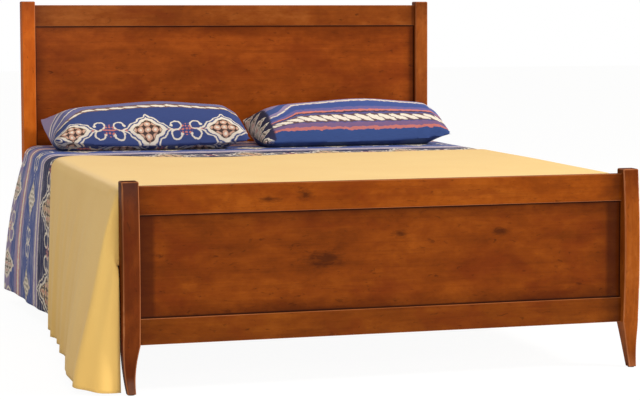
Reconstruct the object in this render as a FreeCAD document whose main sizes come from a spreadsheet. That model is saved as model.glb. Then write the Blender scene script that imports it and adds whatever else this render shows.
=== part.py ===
import FreeCAD, Part
import math
import os

import Sketcher

# Panel bed, made up: a frame of two posted ends and two side rails, with slats, foundation, mattress,
# bedclothes and pillows. X runs across the bed, Y from its foot to its head, Z up. The origin is on the floor
# under the middle of the bed, at the sole of the centre leg's levelling foot.

DRIVING = {
    # mattress, foundation and the room left round them
    "mattress_width": 1530,
    "mattress_length": 2030,
    "mattress_height": 247,
    "mattress_corner": 70,
    "mattress_edge": 32,
    "base_height": 140,
    "base_inset": 6,
    "base_corner": 50,
    "base_edge": 12,
    "side_gap": 14,
    "foot_gap": 24,
    "head_gap": 22,
    "lift_gap": 0.3,
    # posts
    "post_size": 52,
    "arris": 5,
    "foot_post_top": 625,
    "head_post_top": 1151,
    "post_bow": 15,
    "knee_height": 105,
    "knee_set": 3,
    "foot_hollow": 6.4,
    "toe_reach": 17,
    "toe_depth": 30,
    "heel_height": 142,
    "heel_bow": 10,
    "outer_taper": 10,
    "outer_taper_bow": 2,
    "inner_taper": 16,
    "inner_taper_cove": 4.5,
    "outer_taper_height": 150,
    "glide_height": 3,
    "glide_radius": 10,
    # rails and panels of the two ends
    "rail_thickness": 24,
    "rail_edge": 2.5,
    "rail_clearance": 142,
    "foot_rail_top": 610,
    "foot_rail_height": 85,
    "head_rail_top": 1137,
    "head_rail_height": 81,
    "bottom_rail_height": 78,
    "panel_thickness": 10,
    "groove_depth": 10,
    "panel_play": 1,
    "panel_edge": 0.4,
    "tenon_thickness": 10,
    "tenon_length": 26,
    "tenon_shoulder": 14,
    "joint_play": 0.15,
    # side rails, ledgers and slats
    "side_rail_height": 178,
    "side_rail_edge": 3,
    "ledger_width": 22,
    "ledger_height": 28,
    "ledger_end": 40,
    "ledger_rise": 18,
    "slat_count": 12,
    "slat_width": 70,
    "slat_thickness": 19,
    "slat_end_gap": 3,
    "slat_edge": 2,
    "slat_margin": 45,
    "tape_width": 30,
    "tape_thickness": 0.8,
    "tape_across": 350,
    # rail fasteners: a hooked plate on the rail's end drops into a slotted plate let into the post
    "plate_width": 16,
    "plate_height": 156,
    "plate_thickness": 2.5,
    "hook_thickness": 3,
    "hook_reach": 11,
    "hook_throat": 3.5,
    "hook_height": 26,
    "hook_drop": 10,
    "hook_spacing": 62,
    "slot_play": 0.5,
    "plate_screw_spacing": 138,
    # screws
    "screw_radius": 2,
    "screw_head_radius": 4,
    "screw_head_height": 2.2,
    "plate_screw_length": 18,
    "slat_screw_length": 34,
    "hanger_screw_length": 18,
    "leg_screw_length": 75,
    "screw_play": 0.1,
    "screw_room": 1,
    # centre beam, its hangers, and its leg
    "beam_width": 38,
    "beam_height": 42,
    "beam_end_gap": 4,
    "hanger_thickness": 2,
    "hanger_depth": 30,
    "hanger_ear": 20,
    "hanger_height": 34,
    "leg_size": 44,
    "leg_edge": 4,
    "leg_screw_spacing": 22,
    "stem_radius": 5,
    "stem_play": 0.08,
    "stem_length": 40,
    "stem_travel": 12,
    "stem_room": 2,
    "stem_chamfer": 1,
    "pad_radius": 16,
    "pad_height": 9,
    "pad_edge": 2,
    "pad_gap": 14,
    # bedclothes
    "cover_thickness": 3,
    "blanket_thickness": 6,
    "cloth_gap": 0.6,
    "cover_room": 29,
    "shoulder_run": 34,
    "shoulder_drop": 30,
    "shoulder_bow": 9,
    "cover_head": 6,
    "cover_foot": 2,
    "cover_hem": 50,
    "cover_flare": 64,
    "cover_middle_flare": 10,
    "cover_foot_flare": 45,
    "blanket_reach": 1400,
    "blanket_hem": 22,
    "blanket_head_flare": 16,
    "blanket_middle_flare": 42,
    "blanket_middle": 600,
    "blanket_flare": 112,
    "right_hem": 165,
    "right_flare": 30,
    "blanket_foot": 9,
    "foot_tuck": 240,
    "tuck_inset": 25,
    # pillows
    "pillow_length": 750,
    "pillow_width": 470,
    "pillow_height": 158,
    "pillow_corner": 40,
    "pillow_tilt": 8,
    "pillow_back": 35,
    "pillow_between": 56,
}

# Places that follow from the sizes above, each written once.
DERIVED = {
    "rail_inner": "mattress_width / 2 + side_gap",
    "post_middle": "rail_inner + rail_thickness / 2",
    "post_inner": "post_middle - post_size / 2",
    "frame_length": "rail_thickness + foot_gap + mattress_length + head_gap + post_size",
    "foot_front": "-frame_length / 2",
    "foot_back": "foot_front + post_size",
    "foot_rail_middle": "foot_front + post_size / 2",
    "head_back": "frame_length / 2",
    "head_front": "head_back - post_size",
    "head_rail_middle": "head_back - post_size / 2",
    "mattress_foot": "foot_rail_middle + rail_thickness / 2 + foot_gap",
    "mattress_middle": "mattress_foot + mattress_length / 2",
    "mattress_head": "mattress_foot + mattress_length",
    "side_rail_length": "head_front - foot_back",
    "side_rail_middle": "(head_front + foot_back) / 2",
    "side_rail_centre": "rail_clearance + side_rail_height / 2",
    "foot_rail_bottom": "foot_rail_top - foot_rail_height",
    "head_rail_bottom": "head_rail_top - head_rail_height",
    "bottom_rail_top": "rail_clearance + bottom_rail_height",
    "bottom_rail_middle": "rail_clearance + bottom_rail_height / 2",
    "ledger_top": "rail_clearance + ledger_rise + ledger_height",
    "slat_top": "ledger_top + slat_thickness",
    "slat_screw_across": "rail_inner - ledger_width / 2",
    "slat_step": "(mattress_length - 2 * slat_margin - slat_width) / (slat_count - 1)",
    "slat_start": "mattress_foot + slat_margin + slat_width / 2",
    "base_bottom": "slat_top + lift_gap",
    "base_top": "base_bottom + base_height",
    "mattress_bottom": "base_top + lift_gap",
    "mattress_top": "mattress_bottom + mattress_height",
    "cloth_shoulder": "rail_inner + rail_thickness + cover_room",
    "cover_under": "mattress_top + cloth_gap",
    "blanket_under": "cover_under + cover_thickness + cloth_gap",
    "blanket_top": "blanket_under + blanket_thickness",
    "blanket_head_edge": "foot_front + blanket_reach",
    "blanket_foot_edge": "mattress_foot - blanket_foot",
    "beam_bottom": "ledger_top - beam_height",
    "beam_length": "head_rail_middle - foot_rail_middle - rail_thickness - 2 * beam_end_gap",
    "leg_bottom": "pad_height + pad_gap",
    "slot_height": "hook_height + hook_drop + 2 * slot_play",
    "slot_rise": "hook_throat - slot_play + (slot_height - hook_height) / 2",
    "tip_drop": "hook_height / 2 + hook_drop + slot_play",
    "ear_screw_across": "beam_width / 2 + hanger_thickness + hanger_ear / 2",
    "cover_top": "cover_under + cover_thickness",
    "pillow_along": "head_rail_middle - panel_thickness / 2 - pillow_back - pillow_width / 2",
}

doc = FreeCAD.newDocument("PanelBed")
sheet = doc.addObject("Spreadsheet::Sheet", "Sizes")
for row, (word, size) in enumerate(DRIVING.items(), start=1):
    sheet.set("A%d" % row, word)
    sheet.set("B%d" % row, str(size))
    sheet.setAlias("B%d" % row, word)
for row, (word, rule) in enumerate(DERIVED.items(), start=1):
    sheet.set("D%d" % row, word)
    sheet.set("E%d" % row, "=" + rule)
    sheet.setAlias("E%d" % row, word)
doc.recompute()

PIECES = []
MOST = 0.9
NEAR = 0.01


def sized(rule):
    """Returns a rule with each word of the sheet written as a reference to its cell."""
    text = ""
    word = ""
    for letter in str(rule) + " ":
        if letter.isalnum() or letter in "_.":
            word += letter
            continue
        known = word in DRIVING or word in DERIVED
        text += ("Sizes." if known else "") + word + letter
        word = ""
    return text.strip()


def number(rule):
    """Works a rule out to a plain number."""
    return float(sheet.evalExpression(sized(rule)))


def place(item, across="0", along="0", up="0"):
    """Binds an object's place to the sheet."""
    item.setExpression("Placement.Base.x", sized(across))
    item.setExpression("Placement.Base.y", sized(along))
    item.setExpression("Placement.Base.z", sized(up))


def body(label, across="0", along="0", up="0", turn=0, piece=True):
    """Starts a piece: a body with its own origin at the given place, turned about the vertical."""
    item = doc.addObject("PartDesign::Body", label)
    item.Label = label
    item.Placement = FreeCAD.Placement(FreeCAD.Vector(), FreeCAD.Rotation(FreeCAD.Vector(0, 0, 1), turn))
    place(item, across, along, up)
    if piece:
        PIECES.append(item)
    return item


def sketch(owner, plane, name, offset="0"):
    """Starts a sketch on one of the body's own planes, moved along its normal by offset."""
    drawing = owner.newObject("Sketcher::SketchObject", name)
    for feature in owner.Origin.OriginFeatures:
        if feature.Role == plane:
            drawing.AttachmentSupport = (feature, [""])
    drawing.MapMode = "FlatFace"
    drawing.setExpression("AttachmentOffset.Base.z", sized(offset))
    return drawing


def bind(drawing, kind, geometry, point, rule):
    """Holds a point at a signed distance from the sketch's origin."""
    index = drawing.addConstraint(Sketcher.Constraint(kind, -1, 1, geometry, point, number(rule)))
    drawing.setExpression("Constraints[%d]" % index, sized(rule))


def arc_middle(start, end, sagitta):
    """Point halfway along an arc that stands off its chord, to the left of the way it runs, by the sagitta."""
    chord = end.sub(start)
    left = FreeCAD.Vector(-chord.y, chord.x, 0).normalize()
    return start.add(end).multiply(0.5).add(left.multiply(sagitta))


def outline(drawing, corners):
    """Adds a closed outline. A corner is (across, up), or (across, up, sagitta) where an arc runs to it."""
    spots = [FreeCAD.Vector(number(corner[0]), number(corner[1]), 0) for corner in corners]
    for index, corner in enumerate(corners):
        start = spots[index - 1]
        end = spots[index]
        if len(corner) == 2:
            run = drawing.addGeometry(Part.LineSegment(start, end))
            bind(drawing, "DistanceX", run, 2, corner[0])
            bind(drawing, "DistanceY", run, 2, corner[1])
            bind(drawing, "DistanceX", run, 1, corners[index - 1][0])
            bind(drawing, "DistanceY", run, 1, corners[index - 1][1])
            continue
        middle = arc_middle(start, end, number(corner[2]))
        drawing.addGeometry(Part.Arc(start, middle, end))


def rectangle(drawing, width, height, across="0", up="0"):
    """Adds a rectangle about the point (across, up)."""
    left = "%s - (%s) / 2" % (across, width)
    right = "%s + (%s) / 2" % (across, width)
    low = "%s - (%s) / 2" % (up, height)
    high = "%s + (%s) / 2" % (up, height)
    outline(drawing, [(left, low), (right, low), (right, high), (left, high)])


def circle(drawing, radius, across="0", up="0"):
    """Adds a circle about the point (across, up)."""
    centre = FreeCAD.Vector(number(across), number(up), 0)
    ring = drawing.addGeometry(Part.Circle(centre, FreeCAD.Vector(0, 0, 1), number(radius)))
    bind(drawing, "DistanceX", ring, 3, across)
    bind(drawing, "DistanceY", ring, 3, up)
    index = drawing.addConstraint(Sketcher.Constraint("Radius", ring, number(radius)))
    drawing.setExpression("Constraints[%d]" % index, sized(radius))


def extrude(owner, kind, drawing, length, name):
    """Pads or pockets a sketch by half the length to each side of its plane."""
    feature = owner.newObject("PartDesign::" + kind, name)
    feature.Profile = drawing
    feature.Midplane = True
    feature.setExpression("Length", sized(length))
    drawing.Visibility = False
    doc.recompute()
    return feature


def round_edges(owner, radius, name, wanted):
    """Rounds those edges of the body that pass the test."""
    tip = owner.Tip
    chosen = [
        "Edge%d" % index for index, edge in enumerate(tip.Shape.Edges, start=1) if wanted(edge)
    ]
    feature = owner.newObject("PartDesign::Fillet", name)
    feature.Base = (tip, chosen)
    feature.setExpression("Radius", sized(radius))
    doc.recompute()
    return feature


def runs_along(edge, axis, least):
    """True for an edge that runs mostly along an axis and is at least so long."""
    box = edge.BoundBox
    spans = {"x": box.XLength, "y": box.YLength, "z": box.ZLength}
    return spans[axis] >= least and spans[axis] > MOST * edge.Length


def board(label, across, along, up, size, grain, edge):
    """A planed board about its middle, with its long edges eased. size is (x, y, z); grain is its long axis."""
    plane, width, height = {
        "x": ("YZ_Plane", size[1], size[2]),
        "y": ("XZ_Plane", size[0], size[2]),
        "z": ("XY_Plane", size[0], size[1]),
    }[grain]
    item = body(label, across, along, up)
    section = sketch(item, plane, label + "_section")
    rectangle(section, width, height)
    length = size["xyz".index(grain)]
    extrude(item, "Pad", section, length, label + "_length")
    least = number(length) * MOST
    round_edges(item, edge, label + "_eased", lambda side: runs_along(side, grain, least))
    return item


# ---------------------------------------------------------------------------------------------------------------
# Posts. The foot end's are sawn to a shallow S in side view: they bow forward above the rail, draw in at the knee
# and run out to a sabre toe. The head end's are straight. All four legs taper below the rail.
# ---------------------------------------------------------------------------------------------------------------

def taper_leg(post, label, side, coved):
    """Saws the leg's two sides in towards the floor, the inner one more, and coved under a rail that shows."""
    cove = ("%d * -inner_taper_cove" % side,) if coved else ()
    drawing = sketch(post, "XZ_Plane", label + "_taper_lines", "-post_size / 2")
    margin = "post_size"
    floor = "glide_height"
    outline(drawing, [
        ("%d * -%s" % (side, margin), floor),
        ("%d * inner_taper" % side, floor),
        ("0", "rail_clearance") + cove,
        ("%d * -%s" % (side, margin), "rail_clearance"),
    ])
    outline(drawing, [
        ("%d * (post_size + %s)" % (side, margin), floor),
        ("%d * (post_size - outer_taper)" % side, floor),
        ("%d * post_size" % side, "outer_taper_height", "%d * -outer_taper_bow" % side),
        ("%d * (post_size + %s)" % (side, margin), "outer_taper_height"),
    ])
    extrude(post, "Pocket", drawing, "4 * post_size", label + "_taper")


def mortise(post, label, name, middle, low, high, width, depth):
    """Cuts a pocket into the post's inner face, which is the body's own YZ plane."""
    drawing = sketch(post, "YZ_Plane", "%s_%s_lines" % (label, name))
    rectangle(drawing, width, "(%s) - (%s)" % (high, low), middle, "((%s) + (%s)) / 2" % (high, low))
    extrude(post, "Pocket", drawing, "2 * (%s)" % depth, "%s_%s" % (label, name))


def joint_post_to_rails(post, label, rails):
    """Mortises the post for each rail's tenon and ploughs it for the panel between them."""
    middle = "post_size / 2"
    for name, low, high in rails:
        mortise(post, label, name, middle, low + " + tenon_shoulder - joint_play",
                high + " - tenon_shoulder + joint_play", "tenon_thickness + 2 * joint_play",
                "tenon_length + joint_play")
    mortise(post, label, "plough", middle, rails[0][2] + " - groove_depth", rails[1][1] + " + groove_depth",
            "panel_thickness + 2 * joint_play", "groove_depth")


def let_in_plate(item, label, face, across, up, hook_room):
    """Cuts the housing of a fastener plate into a face that looks along Y, with room behind for the hooks."""
    drawing = sketch(item, "XZ_Plane", label + "_housing_lines", "-(%s)" % face)
    rectangle(drawing, "plate_width + 2 * joint_play", "plate_height + 2 * joint_play", across, up)
    extrude(item, "Pocket", drawing, "2 * plate_thickness", label + "_housing")
    if hook_room:
        deep = sketch(item, "XZ_Plane", label + "_room_lines", "-(%s)" % face)
        high = "hook_spacing / 2 + slot_rise + slot_height / 2"
        low = "-hook_spacing / 2 - tip_drop"
        rectangle(deep, "hook_thickness + 2 * slot_play", "(%s) - (%s)" % (high, low), across,
                  "%s + ((%s) + (%s)) / 2" % (up, high, low))
        extrude(item, "Pocket", deep, "2 * (hook_reach + hook_throat)", label + "_room")
    for low_high in (-1, 1):
        bore = sketch(item, "XZ_Plane", "%s_pilot_lines%d" % (label, low_high), "-(%s)" % face)
        circle(bore, "screw_radius + screw_play", across, "%s + %d * plate_screw_spacing / 2" % (up, low_high))
        extrude(item, "Pocket", bore, "2 * (plate_screw_length + screw_room)", "%s_pilot%d" % (label, low_high))


def foot_post(label, side):
    """Foot end's post: side is -1 for the left one, 1 for the right one. Its body's origin is at its inner face."""
    post = body(label, "%d * post_inner" % side, "foot_front")
    drawing = sketch(post, "YZ_Plane", label + "_side_view", "%d * post_size / 2" % side)
    outline(drawing, [
        ("0", "foot_post_top"),
        ("-knee_set", "knee_height", "-post_bow"),
        ("-toe_reach", "glide_height", "foot_hollow"),
        ("toe_depth - toe_reach", "glide_height"),
        ("post_size", "heel_height", "-heel_bow"),
        ("post_size", "foot_post_top"),
    ])
    extrude(post, "Pad", drawing, "post_size", label + "_sawn")
    finish_post(post, label, side, "foot_post_top", True)
    joint_post_to_rails(post, label, [
        ("lower", "rail_clearance", "bottom_rail_top"), ("upper", "foot_rail_bottom", "foot_rail_top")])
    let_in_plate(post, label, "post_size", "%d * post_size / 2" % side, "side_rail_centre", True)
    return post


def head_post(label, side):
    """Head end's post, straight in side view."""
    post = body(label, "%d * post_inner" % side, "head_front")
    drawing = sketch(post, "YZ_Plane", label + "_side_view", "%d * post_size / 2" % side)
    rectangle(drawing, "post_size", "head_post_top - glide_height", "post_size / 2",
              "(head_post_top + glide_height) / 2")
    extrude(post, "Pad", drawing, "post_size", label + "_sawn")
    finish_post(post, label, side, "head_post_top", False)
    joint_post_to_rails(post, label, [
        ("lower", "rail_clearance", "bottom_rail_top"), ("upper", "head_rail_bottom", "head_rail_top")])
    let_in_plate(post, label, "0", "%d * post_size / 2" % side, "side_rail_centre", True)
    return post


def finish_post(post, label, side, top, coved):
    """Tapers the leg, then rounds the long arrises and the top."""
    taper_leg(post, label, side, coved)
    crown = number(top)
    least = number("post_size")
    round_edges(post, "arris", label + "_arrises",
                lambda edge: runs_along(edge, "z", least) or edge.BoundBox.ZMin > crown - NEAR)


SIDES = ((-1, "left"), (1, "right"))
for side, hand in SIDES:
    foot_post("footboard_post_" + hand, side)
    head_post("headboard_post_" + hand, side)


# ---------------------------------------------------------------------------------------------------------------
# Rails and panels of the two ends: planed rails, tenoned into the posts, grooved for the floating panel.
# ---------------------------------------------------------------------------------------------------------------

def end_rail(label, along, low, height, groove_side):
    """A rail between two posts. groove_side is 1 where the panel enters from above, -1 from below."""
    rail = board(label, "0", along, "%s + %s / 2" % (low, height),
                 ("2 * post_inner", "rail_thickness", height), "x", "rail_edge")
    tongue = sketch(rail, "YZ_Plane", label + "_tenon_section")
    rectangle(tongue, "tenon_thickness", "%s - 2 * tenon_shoulder" % height)
    extrude(rail, "Pad", tongue, "2 * (post_inner + tenon_length)", label + "_tenons")
    plough = sketch(rail, "YZ_Plane", label + "_groove_section")
    rectangle(plough, "panel_thickness + 2 * joint_play", "2 * groove_depth", "0",
              "%d * %s / 2" % (groove_side, height))
    extrude(rail, "Pocket", plough, "2 * (post_inner + tenon_length + joint_play)", label + "_groove")
    return rail


def end_panel(label, along, low, high):
    """A flat panel that floats in the grooves of its rails and posts."""
    reach = "2 * (groove_depth - panel_play)"
    return board(label, "0", along, "(%s + %s) / 2" % (low, high),
                 ("2 * post_inner + " + reach, "panel_thickness", "%s - %s + %s" % (high, low, reach)),
                 "x", "panel_edge")


end_rail("footboard_bottom_rail", "foot_rail_middle", "rail_clearance", "bottom_rail_height", 1)
end_rail("footboard_top_rail", "foot_rail_middle", "foot_rail_bottom", "foot_rail_height", -1)
end_panel("footboard_panel", "foot_rail_middle", "bottom_rail_top", "foot_rail_bottom")
end_rail("headboard_bottom_rail", "head_rail_middle", "rail_clearance", "bottom_rail_height", 1)
end_rail("headboard_top_rail", "head_rail_middle", "head_rail_bottom", "head_rail_height", -1)
end_panel("headboard_panel", "head_rail_middle", "bottom_rail_top", "head_rail_bottom")

# ---------------------------------------------------------------------------------------------------------------
# Side rails, slat ledgers and slats. Two tapes stapled under the slats keep them at their distance, and the first
# and the last slat are screwed down.
# ---------------------------------------------------------------------------------------------------------------
ENDS = ((-1, "foot", "foot_back"), (1, "head", "head_front"))
SLATS = range(int(number("slat_count")))
SCREWED_SLATS = (SLATS[0], SLATS[-1])

for side, hand in SIDES:
    label = "side_rail_" + hand
    rail = board(label, "%d * post_middle" % side, "side_rail_middle", "side_rail_centre",
                 ("rail_thickness", "side_rail_length", "side_rail_height"), "y", "side_rail_edge")
    for toward, end, face in ENDS:
        let_in_plate(rail, "%s_%s" % (label, end), "%d * side_rail_length / 2" % toward, "0", "0", False)

    label = "ledger_" + hand
    ledger = board(label, "%d * (rail_inner - ledger_width / 2)" % side, "side_rail_middle",
                   "ledger_top - ledger_height / 2",
                   ("ledger_width", "side_rail_length - 2 * ledger_end", "ledger_height"), "y", "slat_edge")
    bores = sketch(ledger, "XY_Plane", label + "_bore_lines", "ledger_height / 2")
    for index in SCREWED_SLATS:
        circle(bores, "screw_radius + screw_play", "0",
               "slat_start + %d * slat_step - side_rail_middle" % index)
    extrude(ledger, "Pocket", bores, "2 * (slat_screw_length - slat_thickness + screw_room)", label + "_bores")

for index in SLATS:
    label = "slat_%02d" % (index + 1)
    slat = board(label, "0", "slat_start + %d * slat_step" % index, "slat_top - slat_thickness / 2",
                 ("2 * (rail_inner - slat_end_gap)", "slat_width", "slat_thickness"), "x", "slat_edge")
    if index not in SCREWED_SLATS:
        continue
    bores = sketch(slat, "XY_Plane", label + "_bore_lines")
    for side, hand in SIDES:
        circle(bores, "screw_radius + screw_play", "%d * slat_screw_across" % side)
    extrude(slat, "Pocket", bores, "2 * slat_thickness", label + "_bores")
    seats = sketch(slat, "XY_Plane", label + "_seat_lines", "slat_thickness / 2")
    for side, hand in SIDES:
        circle(seats, "screw_head_radius + screw_play", "%d * slat_screw_across" % side)
    extrude(slat, "Pocket", seats, "2 * screw_head_height", label + "_seats")

for side, hand in SIDES:
    tape = doc.addObject("Part::Box", "slat_tape_" + hand)
    tape.Label = "slat_tape_" + hand
    tape.setExpression("Length", sized("tape_width"))
    tape.setExpression("Width", sized("%d * slat_step + slat_width" % SLATS[-1]))
    tape.setExpression("Height", sized("tape_thickness"))
    place(tape, "%d * tape_across - tape_width / 2" % side, "slat_start - slat_width / 2",
          "ledger_top - tape_thickness")
    PIECES.append(tape)

# ---------------------------------------------------------------------------------------------------------------
# Fasteners of the side rails. Hooks on the rail's end plate pass through the slots of the post's plate and drop
# behind it, so the frame comes apart when a rail is lifted.
# ---------------------------------------------------------------------------------------------------------------

def group(label, items):
    """Keeps alike small pieces together as one node of separate solids."""
    compound = doc.addObject("Part::Compound", label)
    compound.Label = label
    compound.Links = items
    PIECES.append(compound)
    return compound


def countersink(plate, label, face):
    """Opens the round holes of a plate to a cone at one face, so that the screws' heads lie flush."""
    tip = plate.Tip
    level = number(face)
    chosen = [
        "Edge%d" % index for index, edge in enumerate(tip.Shape.Edges, start=1)
        if edge.Curve.TypeId == "Part::GeomCircle" and abs(edge.CenterOfMass.y - level) < NEAR
    ]
    sunk = plate.newObject("PartDesign::Chamfer", label + "_countersunk")
    sunk.Base = (tip, chosen)
    sunk.setExpression("Size", sized("screw_head_height"))
    doc.recompute()


def slotted_plate(label, side, toward, face):
    """The post's plate, flush in its housing, with a slot for each hook and a countersunk hole at each end."""
    plate = body(label, "%d * post_middle" % side, "%s + %d * plate_thickness / 2" % (face, toward),
                 "side_rail_centre", piece=False)
    drawing = sketch(plate, "XZ_Plane", label + "_lines")
    rectangle(drawing, "plate_width", "plate_height")
    for high in (-1, 1):
        rectangle(drawing, "hook_thickness + 2 * slot_play", "slot_height", "0",
                  "%d * hook_spacing / 2 + slot_rise" % high)
        circle(drawing, "screw_radius + screw_play", "0", "%d * plate_screw_spacing / 2" % high)
    extrude(plate, "Pad", drawing, "plate_thickness", label + "_rolled")
    countersink(plate, label, "%d * plate_thickness / 2" % -toward)
    return plate


def hook_plate(label, side, toward, face):
    """The rail's end plate with its two hooks. Its body is turned so that the hooks point along its own +Y."""
    turn = 0 if toward > 0 else 180
    plate = body(label, "%d * post_middle" % side, face, "side_rail_centre", turn=turn, piece=False)
    drawing = sketch(plate, "XZ_Plane", label + "_lines", "plate_thickness / 2")
    rectangle(drawing, "plate_width", "plate_height")
    for high in (-1, 1):
        circle(drawing, "screw_radius + screw_play", "0", "%d * plate_screw_spacing / 2" % high)
    extrude(plate, "Pad", drawing, "plate_thickness", label + "_rolled")
    countersink(plate, label, "0")
    hooks = sketch(plate, "YZ_Plane", label + "_hook_lines")
    for high in (-1, 1):
        top = "%d * hook_spacing / 2 + hook_height / 2" % high
        low = "%d * hook_spacing / 2 - hook_height / 2" % high
        outline(hooks, [
            ("-plate_thickness / 2", top),
            ("hook_reach", top),
            ("hook_reach", low + " - hook_drop"),
            ("plate_thickness + slot_play", low + " - hook_drop"),
            ("plate_thickness + slot_play", low + " + hook_throat"),
            ("-plate_thickness / 2", low + " + hook_throat"),
        ])
    extrude(plate, "Pad", hooks, "hook_thickness", label + "_hooks")
    return plate


def screw(label, length, across, along, up, aim):
    """A countersunk wood screw. aim is the turn that points its tip from straight down to where it goes."""
    item = body(label, across, along, up, piece=False)
    item.Placement.Rotation = FreeCAD.Rotation(FreeCAD.Vector(1, 0, 0), aim)
    drawing = sketch(item, "XZ_Plane", label + "_half")
    outline(drawing, [
        ("0", "0"),
        ("screw_head_radius", "0"),
        ("screw_radius", "-screw_head_height"),
        ("screw_radius", "screw_radius - %s" % length),
        ("0", "-%s" % length),
    ])
    turned = item.newObject("PartDesign::Revolution", label + "_turned")
    turned.Profile = drawing
    turned.ReferenceAxis = (drawing, ["V_Axis"])
    turned.Angle = 360
    doc.recompute()
    return item


slotted = []
hooked = []
plate_screws = []
for side, hand in SIDES:
    for toward, end, face in ENDS:
        key = "%s_%s" % (end, hand)
        slotted.append(slotted_plate("slotted_plate_" + key, side, toward, face))
        hooked.append(hook_plate("hook_plate_" + key, side, toward, face))
        for into, aim in (("post", 90 * toward), ("rail", -90 * toward)):
            for high in (-1, 1):
                plate_screws.append(screw("%s_screw_%s_%d" % (into, key, high), "plate_screw_length",
                                          "%d * post_middle" % side, face,
                                          "side_rail_centre + %d * plate_screw_spacing / 2" % high, aim))
group("post_slotted_plates", slotted)
group("rail_hook_plates", hooked)
group("plate_screws", plate_screws)

slat_screws = []
for index in SCREWED_SLATS:
    for side, hand in SIDES:
        slat_screws.append(screw("slat_screw_%s_%02d" % (hand, index + 1), "slat_screw_length",
                                 "%d * slat_screw_across" % side, "slat_start + %d * slat_step" % index,
                                 "slat_top", 0))
group("slat_screws", slat_screws)

# ---------------------------------------------------------------------------------------------------------------
# Centre beam under the slats, hung from the two bottom rails, with one leg and its levelling foot at the middle
# ---------------------------------------------------------------------------------------------------------------
beam = board("centre_beam", "0", "(foot_rail_middle + head_rail_middle) / 2", "ledger_top - beam_height / 2",
             ("beam_width", "beam_length", "beam_height"), "y", "slat_edge")
for name, radius, reach in (("bores", "screw_radius", "beam_height"),
                            ("seats", "screw_head_radius", "screw_head_height")):
    holes = sketch(beam, "XY_Plane", "centre_beam_%s_lines" % name, "beam_height / 2")
    for along in (-1, 1):
        circle(holes, radius + " + screw_play", "0", "%d * leg_screw_spacing / 2" % along)
    extrude(beam, "Pocket", holes, "2 * %s" % reach, "centre_beam_" + name)


def beam_hanger(label, toward, face):
    """A pressed stirrup that carries one end of the beam. Its ears lie on the rail's inner face."""
    turn = 0 if toward > 0 else 180
    hanger = body(label, "0", face, "beam_bottom", turn=turn, piece=False)
    inner = "beam_width / 2"
    outer = "(beam_width / 2 + hanger_thickness)"
    cradle = sketch(hanger, "XZ_Plane", label + "_cradle_lines", "hanger_depth / 2")
    outline(cradle, [
        ("-%s" % outer, "-hanger_thickness"), (outer, "-hanger_thickness"), (outer, "hanger_height"),
        (inner, "hanger_height"), (inner, "0"), ("-%s" % inner, "0"), ("-%s" % inner, "hanger_height"),
        ("-%s" % outer, "hanger_height")])
    extrude(hanger, "Pad", cradle, "hanger_depth", label + "_cradle")
    ears = sketch(hanger, "XZ_Plane", label + "_ear_lines", "hanger_thickness / 2")
    for side in (-1, 1):
        across = "%d * (%s + hanger_ear / 2 - hanger_thickness / 2)" % (side, outer)
        rectangle(ears, "hanger_ear + hanger_thickness", "hanger_height + hanger_thickness", across,
                  "(hanger_height - hanger_thickness) / 2")
    extrude(hanger, "Pad", ears, "hanger_thickness", label + "_ears")
    bores = sketch(hanger, "XZ_Plane", label + "_bore_lines", "hanger_thickness / 2")
    for side in (-1, 1):
        circle(bores, "screw_radius + screw_play", "%d * ear_screw_across" % side, "hanger_height / 2")
    extrude(hanger, "Pocket", bores, "2 * hanger_thickness", label + "_bores")
    return hanger


def round_head_screw(label, length, across, along, up, turn):
    """A domed wood screw that points along +Y before it is turned. Its origin is under its head."""
    item = body(label, across, along, up, turn=turn, piece=False)
    drawing = sketch(item, "XY_Plane", label + "_half")
    outline(drawing, [
        ("0", "-screw_head_height"),
        ("screw_head_radius", "0", "screw_head_height / 3"),
        ("screw_radius", "0"),
        ("screw_radius", "%s - screw_radius" % length),
        ("0", length),
    ])
    turned = item.newObject("PartDesign::Revolution", label + "_turned")
    turned.Profile = drawing
    turned.ReferenceAxis = (drawing, ["V_Axis"])
    turned.Angle = 360
    doc.recompute()
    return item


hangers = []
hanger_screws = []
for toward, end, face in ((-1, "foot", "foot_rail_middle + rail_thickness / 2"),
                          (1, "head", "head_rail_middle - rail_thickness / 2")):
    hangers.append(beam_hanger("beam_hanger_" + end, toward, face))
    rail = doc.getObject("%sboard_bottom_rail" % end)
    pilots = sketch(rail, "XZ_Plane", "%s_hanger_pilot_lines" % end, "%d * rail_thickness / 2" % toward)
    for side, hand in SIDES:
        across = "%d * ear_screw_across" % side
        up = "beam_bottom + hanger_height / 2"
        circle(pilots, "screw_radius + screw_play", across, up + " - bottom_rail_middle")
        hanger_screws.append(round_head_screw("hanger_screw_%s_%s" % (end, hand), "hanger_screw_length", across,
                                              "%s - %d * hanger_thickness" % (face, toward), up,
                                              0 if toward > 0 else 180))
    extrude(rail, "Pocket", pilots, "2 * hanger_screw_length", end + "_hanger_pilots")
group("beam_hangers", hangers)
group("hanger_screws", hanger_screws)

leg = board("centre_leg", "0", "0", "(leg_bottom + beam_bottom) / 2",
            ("leg_size", "leg_size", "beam_bottom - leg_bottom"), "z", "leg_edge")
bores = sketch(leg, "XY_Plane", "centre_leg_pilot_lines", "(beam_bottom - leg_bottom) / 2")
for along in (-1, 1):
    circle(bores, "screw_radius + screw_play", "0", "%d * leg_screw_spacing / 2" % along)
extrude(leg, "Pocket", bores, "2 * (leg_screw_length - beam_height + screw_room)", "centre_leg_pilots")
socket = sketch(leg, "XY_Plane", "centre_leg_socket_lines", "-(beam_bottom - leg_bottom) / 2")
circle(socket, "stem_radius + stem_play")
extrude(leg, "Pocket", socket, "2 * (stem_length - pad_gap + stem_travel + stem_room)", "centre_leg_socket")
leg_screws = []
for along in (-1, 1):
    leg_screws.append(screw("leg_screw_%d" % along, "leg_screw_length", "0",
                            "%d * leg_screw_spacing / 2" % along, "ledger_top", 0))
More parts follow.
